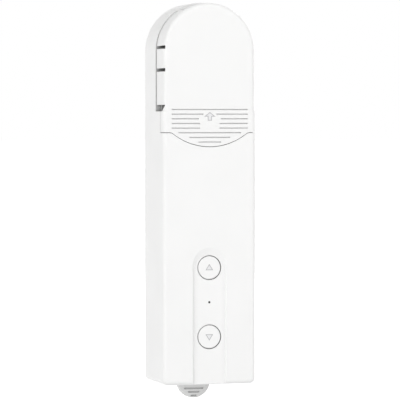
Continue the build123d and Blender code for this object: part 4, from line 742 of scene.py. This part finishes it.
def wound_rotor(name, colour):
    """Varnished stack of thin steel sheets, and a bright shaft."""
    material = bare_metal(name, colour, 0.42, mark_depth=0.006)
    tree = material.node_tree
    parts = place_parts(tree, object_place(tree))
    sheets = add(tree, "ShaderNodeTexWave", {"Vector": object_place(tree), "Scale": 640.0},
                 bands_direction="Z")
    joints = spread(tree, sheets.outputs["Fac"], 0.30, 0.12)
    recolour(material, math_node(tree, "MULTIPLY", joints, 0.7), shade(colour, 0.35))
    middle = (ROTOR_LOW + ROTOR_HIGH) / 2
    flat = add(tree, "ShaderNodeCombineXYZ", {0: parts["X"], 1: parts["Y"]}).outputs[0]
    reach = add(tree, "ShaderNodeVectorMath", {0: flat, 1: (middle.x, middle.y, 0.0)},
                operation="DISTANCE").outputs["Value"]
    recolour(material, spread(tree, reach, SHAFT_RADIUS * 1.02, SHAFT_RADIUS), SHAFT_STEEL)
    return material


def smoked_window(name, colour):
    """Dark tinted acrylic light guide."""
    return moulded_plastic(name, shade(colour, 0.06), roughness=0.55, grains=900.0,
                           grain_depth=0.002, gap=0.4, worn=1.3, rounding=0.1)


def lamp_resin(name, colour):
    """Milky resin with a yellow phosphor pool in its middle."""
    material = moulded_plastic(name, colour, roughness=0.2, grains=2600.0, grain_depth=0.004,
                               cloud=0.9, gap=0.7, rounding=0.1, coat=0.5)
    tree = material.node_tree
    low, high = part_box("status_led")
    middle = (low + high) / 2
    spot = add(tree, "ShaderNodeVectorMath", {0: object_place(tree), 1: tuple(middle)},
               operation="DISTANCE").outputs["Value"]
    recolour(material, spread(tree, spot, 0.9 * MM, 0.6 * MM), PHOSPHOR)
    return material


def give(node, material):
    """Puts one material on a CAD node."""
    slots = frame["nodes"][node].data.materials
    slots.clear()
    slots.append(material)


class MOTOR_OT_effects(bpy.types.Operator):
    """Builds the shader groups that the finishes share"""
    bl_idname = "motor.effects"
    bl_label = "Shared Effects"

    def execute(self, context):
        for build in (build_surface_grain, build_edge_wear_and_highlight, build_recess_shade, build_scuffs,
                      build_tool_marks):
            build()
        return {"FINISHED"}


class MOTOR_OT_finishes(bpy.types.Operator):
    """Gives every CAD node its finish"""
    bl_idname = "motor.finishes"
    bl_label = "Finishes"

    def execute(self, context):
        look = context.scene.motor_finishes
        white, grey = tuple(look.case_white), tuple(look.tab_grey)
        case = {"reach": look.painted_shade_reach / MM, "rounding": look.rounding / MM}
        # The case's gap, contact and hollow tones set its painted shade in gaps, beside walls and
        # deep inside the body
        moulded_plastic("housing_plastic", white, gap=0.86, contact=0.62, hollow=0.12, **case)
        moulded_plastic("cover_plastic", shade(white, 0.99), cloud=0.988, gap=0.94, contact=0.88,
                        hollow=0.12, **case)
        moulded_plastic("button_plastic", white, roughness=0.36, grain_depth=0.006, gap=0.80,
                        **case)
        moulded_plastic("lever_plastic", grey, roughness=0.42, worn=1.10, **case)
        moulded_plastic("panel_plastic", colour_of_slot["panel_plastic"], roughness=0.55,
                        grains=1700.0, grain_depth=0.02, **case)
        moulded_plastic("bracket_plastic", colour_of_slot["bracket_plastic"], roughness=0.52,
                        grains=1900.0, grain_depth=0.018, worn=1.05, **case)
        for name, values in PLASTICS.items():
            moulded_plastic(name, colour_of_slot[name], **values)
        for name, values in METALS.items():
            bare_metal(name, colour_of_slot[name], **values)
        for make, name in ((sintered_bronze, "bush_bronze"), (sintered_ferrite, "magnet_ferrite"),
                           (wound_rotor, "rotor_steel"), (tinned_sheet, "shield_tin"),
                           (printed_board, "board_green"), (shrink_wrap, "cell_wrap"),
                           (smoked_window, "light_pipe"), (lamp_resin, "lamp_resin")):
            make(name, colour_of_slot[name])
        for node, slot in slot_of_node.items():
            give(node, finish_called(slot))
        return {"FINISHED"}


def ink_material(name, colour):
    """Pad-printing ink: thin, slightly uneven, with pin holes."""
    material = moulded_plastic(name, tuple(colour), roughness=0.5, grains=4200.0,
                               grain_depth=0.003, cloud=0.94, gap=0.9, rounding=0.02, reach=0.2)
    recolour(material, pore_mask(material.node_tree, 5200.0, 0.04, 0.12), shade(colour, 1.25))
    return material


def print_sign(name, body, outline, middle):
    """A sign on a face that looks forward, a dark line round a pale field. The outline's points
    are in millimetres, across and up from the middle."""
    signs = bpy.context.scene.motor_signs
    deselect()
    bpy.ops.mesh.primitive_circle_add(vertices=len(outline), radius=1 * MM, fill_type="NGON")
    sign = start_piece(name)
    for vert, (across, up) in zip(sign.data.vertices, outline):
        vert.co = middle + Vector((across * MM, PRINT_SINK, up * MM))
    for ink in ("outline_ink", "field_ink"):
        sign.data.materials.append(finish_called(ink))
    edit(sign)
    bpy.ops.mesh.select_all(action="SELECT")
    bpy.ops.mesh.extrude_region_move(
        TRANSFORM_OT_translate={"value": (0, -signs.thickness - PRINT_SINK, 0)})
    bpy.ops.mesh.inset(thickness=signs.outline, use_even_offset=True)
    sign.active_material_index = 1
    bpy.ops.object.material_slot_assign()
    bpy.ops.mesh.select_all(action="SELECT")
    bpy.ops.mesh.normals_make_consistent(inside=False)
    leave_edit()
    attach(sign, body)


class MOTOR_OT_signs(bpy.types.Operator):
    """Prints the arrow on the cover and a triangle on each button"""
    bl_idname = "motor.signs"
    bl_label = "Printed Signs"

    def execute(self, context):
        signs = context.scene.motor_signs
        ink_material("outline_ink", signs.ink)
        ink_material("field_ink", signs.pale_ink)
        half = signs.arrow_half / MM
        arrow = [(across * half, up * half) for across, up in ARROW]
        print_sign("arrow_sign", "cover", arrow, Vector((0, COVER_FRONT, signs.arrow_top)))
        half = signs.triangle_half / MM
        for name, node, way in (("up_sign", "up_button", 1), ("down_sign", "down_button", -1)):
            low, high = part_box(node)
            triangle = [(across * half, up * half * way) for across, up in TRIANGLE]
            print_sign(name, body_of_node[node], triangle,
                       Vector((0, low.y, (low.z + high.z) / 2)))
        return {"FINISHED"}


def model_head(name, head, thick):
    """A screw's rounded head with its cross recess, standing on the origin."""
    deselect()
    bpy.ops.mesh.primitive_cylinder_add(vertices=40, radius=head, depth=thick,
                                        location=(0, 0, thick / 2))
    screw = start_piece(name)
    edit(screw)
    pick(screw, "EDGE", lambda place, way: place.z > thick * 0.99 and place.xy.length > head * 0.9)
    bpy.ops.mesh.bevel(offset=thick * HEAD_ROUND, offset_type="OFFSET", segments=5, profile=0.6)
    leave_edit()
    # Two bars that narrow downwards are cut out of the head
    for turn in (0, math.pi / 2):
        deselect()
        bpy.ops.mesh.primitive_cube_add(
            size=1, location=(0, 0, thick * RECESS_MIDDLE), rotation=(0, 0, turn),
            scale=(head * RECESS_LENGTH, head * RECESS_WIDTH, thick * RECESS_HEIGHT))
        bar = start_piece("recess_bar")
        edit(bar)
        pick(bar, "FACE", lambda place, normal: normal.z < -0.9)
        bpy.ops.transform.resize(value=(RECESS_TAPER, RECESS_TAPER, 1), center_override=(0, 0, 0))
        leave_edit()
        combine(screw, "DIFFERENCE", bar)
    return screw


def model_core(core, length, tip, bury):
    """A screw's core with a blunt point, down to length, and up into the head by bury."""
    deselect()
    bpy.ops.mesh.primitive_cylinder_add(vertices=24, radius=core, depth=length - tip + bury,
                                        location=(0, 0, (bury - length + tip) / 2))
    shank = start_piece("screw_core")
    edit(shank)
    pick(shank, "FACE", lambda place, normal: normal.z < -0.9)
    bpy.ops.mesh.extrude_region_move(TRANSFORM_OT_translate={"value": (0, 0, -tip)})
    bpy.ops.transform.resize(value=(POINT_TAPER, POINT_TAPER, 1), center_override=(0, 0, -length))
    leave_edit()
    return shank


def model_thread(core, thread, pitch, turns):
    """One tooth turned round the core and down, closed at both ends."""
    deselect()
    bpy.ops.mesh.primitive_circle_add(vertices=3, radius=core)
    tooth = start_piece("screw_thread")
    root = core - pitch * TOOTH_SINK
    for vert, (out, up) in zip(tooth.data.vertices,
                               ((root, -TOOTH_HALF), (thread, 0.0), (root, TOOTH_HALF))):
        vert.co = (out, 0, (up - THREAD_START) * pitch)
    apply_modifier(tooth, "SCREW", axis="Z", angle=math.tau, screw_offset=-pitch, iterations=turns,
                   steps=20, render_steps=20)
    edit(tooth)
    bpy.ops.mesh.select_all(action="DESELECT")
    bpy.ops.mesh.select_mode(type="EDGE")
    bpy.ops.mesh.select_non_manifold()
    bpy.ops.mesh.edge_face_add()
    bpy.ops.mesh.select_all(action="SELECT")
    bpy.ops.mesh.normals_make_consistent(inside=False)
    leave_edit()
    return tooth


def model_screw(name, head, thick, thread, core, pitch, length):
    """A cross-recess screw that points down, with the underside of its head at the origin.
    Its sizes are in metres."""
    tip = core * POINT_LENGTH
    screw = model_head(name, head, thick)
    shank = model_core(core, length, tip, thick * CORE_BURY)
    tooth = model_thread(core, thread, pitch, int((length - tip) / pitch) - 1)
    return join(name, screw, shank, tooth)


class MOTOR_OT_screws(bpy.types.Operator):
    """Models each kind of screw once, and sets its copies in their holes"""
    bl_idname = "motor.screws"
    bl_label = "Screws"

    def execute(self, context):
        for node, (points, spots, *sizes) in SCREWS.items():
            head, thick, thread, core, pitch = (size * MM for size in sizes)
            low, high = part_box(node)
            middle, half = (low + high) / 2, (high - low) / 2
            along = "XYZ".index(points[1])
            length = (high - low)[along] - thick
            model = model_screw(node + "_model", head, thick, thread, core, pitch, length)
            copies = []
            for number, (across, up) in enumerate(spots):
                place = middle + Vector((across * (half.x - head), 0, up * (half.z - head)))
                place[along] = (low[along] + thick) if points[0] == "+" else (high[along] - thick)
                tilt = {"-Y": -math.pi / 2, "+Y": math.pi / 2, "-Z": 0.0}[points]
                copies.append(copy_to(model, Matrix.Translation(place)
                                      @ Matrix.Rotation(tilt, 4, "X")
                                      @ Matrix.Rotation(RECESS_TURN * (number + 1), 4, "Z")))
            discard(model)
            screws = join(node + "_detail", *copies)
            finish_piece(screws, body_of_node[node], "screw_steel", finish_called("screw_steel"))
            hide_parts(node)
        return {"FINISHED"}


def model_tab(centre, radius):
    """A half disc that hangs from its centre, with a rounded rim and short grip grooves."""
    deselect()
    # Turned by half a step, so that no corner lies on the plane that halves it
    bpy.ops.mesh.primitive_cylinder_add(vertices=TAB_SIDES, radius=radius, depth=TAB_DEPTH,
                                        location=centre,
                                        rotation=(math.pi / 2, math.pi / TAB_SIDES, 0))
    tab = start_piece("tab_model")
    edit(tab)
    pick(tab, "EDGE", lambda place, way: abs(way.y) < 0.5)
    bpy.ops.mesh.bevel(offset=TAB_RIM, segments=3)
    leave_edit()
    for up, half in TAB_GRIPS:
        deselect()
        bpy.ops.mesh.primitive_cube_add(
            size=1, location=(0, centre.y - TAB_DEPTH / 2, centre.z - radius + up * MM),
            scale=(2 * half * MM, 2 * TAB_GRIP_DEPTH, TAB_GRIP_WIDTH))
        bar = start_piece("grip_bar")
        edit(bar)
        pick(bar, "EDGE", lambda place, way: abs(way.y) > 0.9)
        bpy.ops.mesh.bevel(offset=TAB_GRIP_WIDTH * 0.45, segments=4)
        leave_edit()
        combine(tab, "DIFFERENCE", bar)
    edit(tab)
    bpy.ops.mesh.select_all(action="SELECT")
    bpy.ops.mesh.bisect(plane_co=centre, plane_no=(0, 0, 1), clear_outer=True, use_fill=True)
    leave_edit()
    return tab


class MOTOR_OT_tab(bpy.types.Operator):
    """Moulds the release tab with a rounded rim and short grip grooves, on the CAD lever's arm"""
    bl_idname = "motor.tab"
    bl_label = "Release Tab"

    def execute(self, context):
        low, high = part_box("release_lever")
        radius = (high.x - low.x) / 2
        centre = Vector((0, high.y - TAB_DEPTH / 2, low.z + radius))
        tab = model_tab(centre, radius)
        lever = copy_of_node("release_lever", "lever_model")
        bpy.ops.mesh.bisect(plane_co=(0, 0, centre.z + ARM_CUT), plane_no=(0, 0, 1),
                            clear_inner=True, use_fill=True, threshold=WELD)
        pick(lever, "FACE",
             lambda place, normal: place.z < centre.z + ARM_REACH and normal.z < -0.9)
        bpy.ops.mesh.extrude_region_move(TRANSFORM_OT_translate={"value": (0, 0, -ARM_REACH)})
        leave_edit()
        combine(lever, "UNION", tab)
        lever = join("release_lever_detail", lever)
        finish_piece(lever, body_of_node["release_lever"], "lever_plastic",
                     finish_called("lever_plastic"))
        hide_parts("release_lever")
        return {"FINISHED"}


class MOTOR_OT_spring(bpy.types.Operator):
    """Makes the leaf spring out of the CAD one, cut across below its seat. In the motor the tilted
    lever bends it forward, out of the bracket's rack
    """
    bl_idname = "motor.spring"
    bl_label = "Leaf Spring"

    def execute(self, context):
        low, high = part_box("leaf_spring")
        seat_end = high.z - SPRING_SEAT
        spring = copy_of_node("leaf_spring", "leaf_spring_detail")
        for cut in range(SPRING_CUTS):
            place = seat_end + (low.z - seat_end) * (cut + 0.5) / SPRING_CUTS
            bpy.ops.mesh.select_all(action="SELECT")
            bpy.ops.mesh.bisect(plane_co=(0, 0, place), plane_no=(0, 0, 1), threshold=WELD)
        leave_edit()
        dress_piece(spring, "spring_steel", finish_called("spring_steel"))
        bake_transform(spring)
        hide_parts("leaf_spring")
        return {"FINISHED"}


class MOTOR_OT_chips(bpy.types.Operator):
    """Solders small chip parts to the front of the main board, round the status lamp"""
    bl_idname = "motor.chips"
    bl_label = "Chip Parts"

    def execute(self, context):
        lamp_low, lamp_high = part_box("status_led")
        lamp_z = (lamp_low.z + lamp_high.z) / 2
        deselect()
        bpy.ops.mesh.primitive_cube_add(size=1, scale=CHIP_SIZE)
        model = start_piece("chip_model")
        for material in ("component_black", "contact_nickel"):
            model.data.materials.append(finish_called(material))
        edit(model)
        bpy.ops.mesh.select_all(action="SELECT")
        for side in (-1, 1):
            bpy.ops.mesh.bisect(plane_co=(side * CHIP_END, 0, 0), plane_no=(1, 0, 0))
            bpy.ops.mesh.select_all(action="SELECT")
        pick(model, "FACE", lambda place, normal: abs(place.x) > CHIP_END)
        model.active_material_index = 1
        bpy.ops.object.material_slot_assign()
        bpy.ops.mesh.extrude_region_shrink_fatten(
            TRANSFORM_OT_shrink_fatten={"value": CHIP_SOLDER})
        leave_edit()
        copies = []
        for across, up, length in CHIPS:
            place = Vector((across * MM, BOARD_FRONT - CHIP_LIFT * length, lamp_z + up * MM))
            copies.append(copy_to(model, Matrix.Translation(place) @ Matrix.Scale(length, 4)))
        discard(model)
        chips = join("board_chips", *copies)
        finish_piece(chips, body_of_node["main_board"], "component_black")
        return {"FINISHED"}


class MOTOR_OT_stage(bpy.types.Operator):
    """Sets up the camera, floor and light"""
    bl_idname = "motor.stage"
    bl_label = "Stage"

    def execute(self, context):
        stage = context.scene.motor_stage
        deselect()
        azimuth, elevation = stage.azimuth, stage.elevation
        back = Vector((math.sin(azimuth) * math.cos(elevation),
                       -math.cos(azimuth) * math.cos(elevation), math.sin(elevation)))
        bpy.ops.object.camera_add(location=CAMERA_TARGET + back * stage.distance,
                                  rotation=(math.pi / 2 - elevation, 0, azimuth))
        camera = context.object
        camera.name = "stage_camera"
        camera.data.lens = stage.lens
        camera.data.sensor_width = SENSOR_WIDTH
        camera.data.clip_start = NEAR_CLIP
        context.scene.camera = camera

        # Floor: white to the camera, still shaded by the object, and clear from below
        bpy.ops.mesh.primitive_plane_add(size=FLOOR_SIZE,
                                         location=(0, 0, frame_low.z - stage.floor_drop))
        floor = context.object
        floor.name = "stage_floor"
        material, tree, shader = new_material("floor_white")
        shader.inputs["Base Color"].default_value = FLOOR_WHITE
        shader.inputs["Roughness"].default_value = 0.9
        shader.inputs["Specular IOR Level"].default_value = 0.0
        shader.inputs["Emission Color"].default_value = PURE_WHITE
        tree.links.new(math_node(tree, "MULTIPLY", seen_directly(tree), FLOOR_GLOW),
                       shader.inputs["Emission Strength"])
        below = add(tree, "ShaderNodeNewGeometry").outputs["Backfacing"]
        clear = add(tree, "ShaderNodeBsdfTransparent").outputs[0]
        either = add(tree, "ShaderNodeMixShader", {0: below, 1: shader.outputs[0], 2: clear})
        tree.links.new(either.outputs[0], tree.nodes["Material Output"].inputs["Surface"])
        floor.data.materials.append(material)

        # World: even light, white where it is seen
        world = bpy.data.worlds.new("studio")
        context.scene.world = world
        world.use_nodes = True
        tree = world.node_tree
        sky = tree.nodes["Background"]
        sky.inputs["Color"].default_value = PURE_WHITE
        tree.links.new(spread(tree, seen_directly(tree), 0.0, 1.0, stage.sky, 1.0),
                       sky.inputs["Strength"])

        # Soft lamps, each at its level where the object stands
        for name, setting, way in LAMPS:
            place = Vector(way).normalized() * LAMP_DISTANCE
            aim = (-place).to_track_quat("-Z", "Y").to_euler()
            bpy.ops.object.light_add(type="AREA", location=place, rotation=aim)
            lamp = context.object
            lamp.name = name
            lamp.data.size = LAMP_SIZE
            lamp.data.energy = getattr(stage, setting) * math.pi ** 2 * LAMP_DISTANCE ** 2
        context.scene.view_settings.view_transform = "Standard"
        return {"FINISHED"}


class MOTOR_PT_panel(bpy.types.Panel):
    """Lists the steps that dress the motor"""
    bl_idname = "MOTOR_PT_panel"
    bl_label = "Shade Motor"
    bl_space_type = "VIEW_3D"
    bl_region_type = "UI"
    bl_category = "Shade Motor"

    def draw(self, context):
        for operator in OPERATORS:
            self.layout.operator(operator.bl_idname)


GROUPS = (MotorFinishes, MotorSigns, MotorStage)
OPERATORS = (MOTOR_OT_effects, MOTOR_OT_finishes, MOTOR_OT_signs, MOTOR_OT_screws, MOTOR_OT_tab,
             MOTOR_OT_spring, MOTOR_OT_chips, MOTOR_OT_stage)
CLASSES = GROUPS + OPERATORS + (MOTOR_PT_panel,)


def register():
    for cls in CLASSES:
        bpy.utils.register_class(cls)
    bpy.types.Scene.motor_finishes = bpy.props.PointerProperty(type=MotorFinishes)
    bpy.types.Scene.motor_signs = bpy.props.PointerProperty(type=MotorSigns)
    bpy.types.Scene.motor_stage = bpy.props.PointerProperty(type=MotorStage)


def unregister():
    del bpy.types.Scene.motor_stage
    del bpy.types.Scene.motor_signs
    del bpy.types.Scene.motor_finishes
    for cls in reversed(CLASSES):
        bpy.utils.unregister_class(cls)


def main():
    register()
    bpy.ops.motor.effects()
    bpy.ops.motor.finishes()
    bpy.ops.motor.signs()
    bpy.ops.motor.screws()
    bpy.ops.motor.tab()
    bpy.ops.motor.spring()
    bpy.ops.motor.chips()
    bpy.ops.motor.stage()


if __name__ == "__main__":
    main()
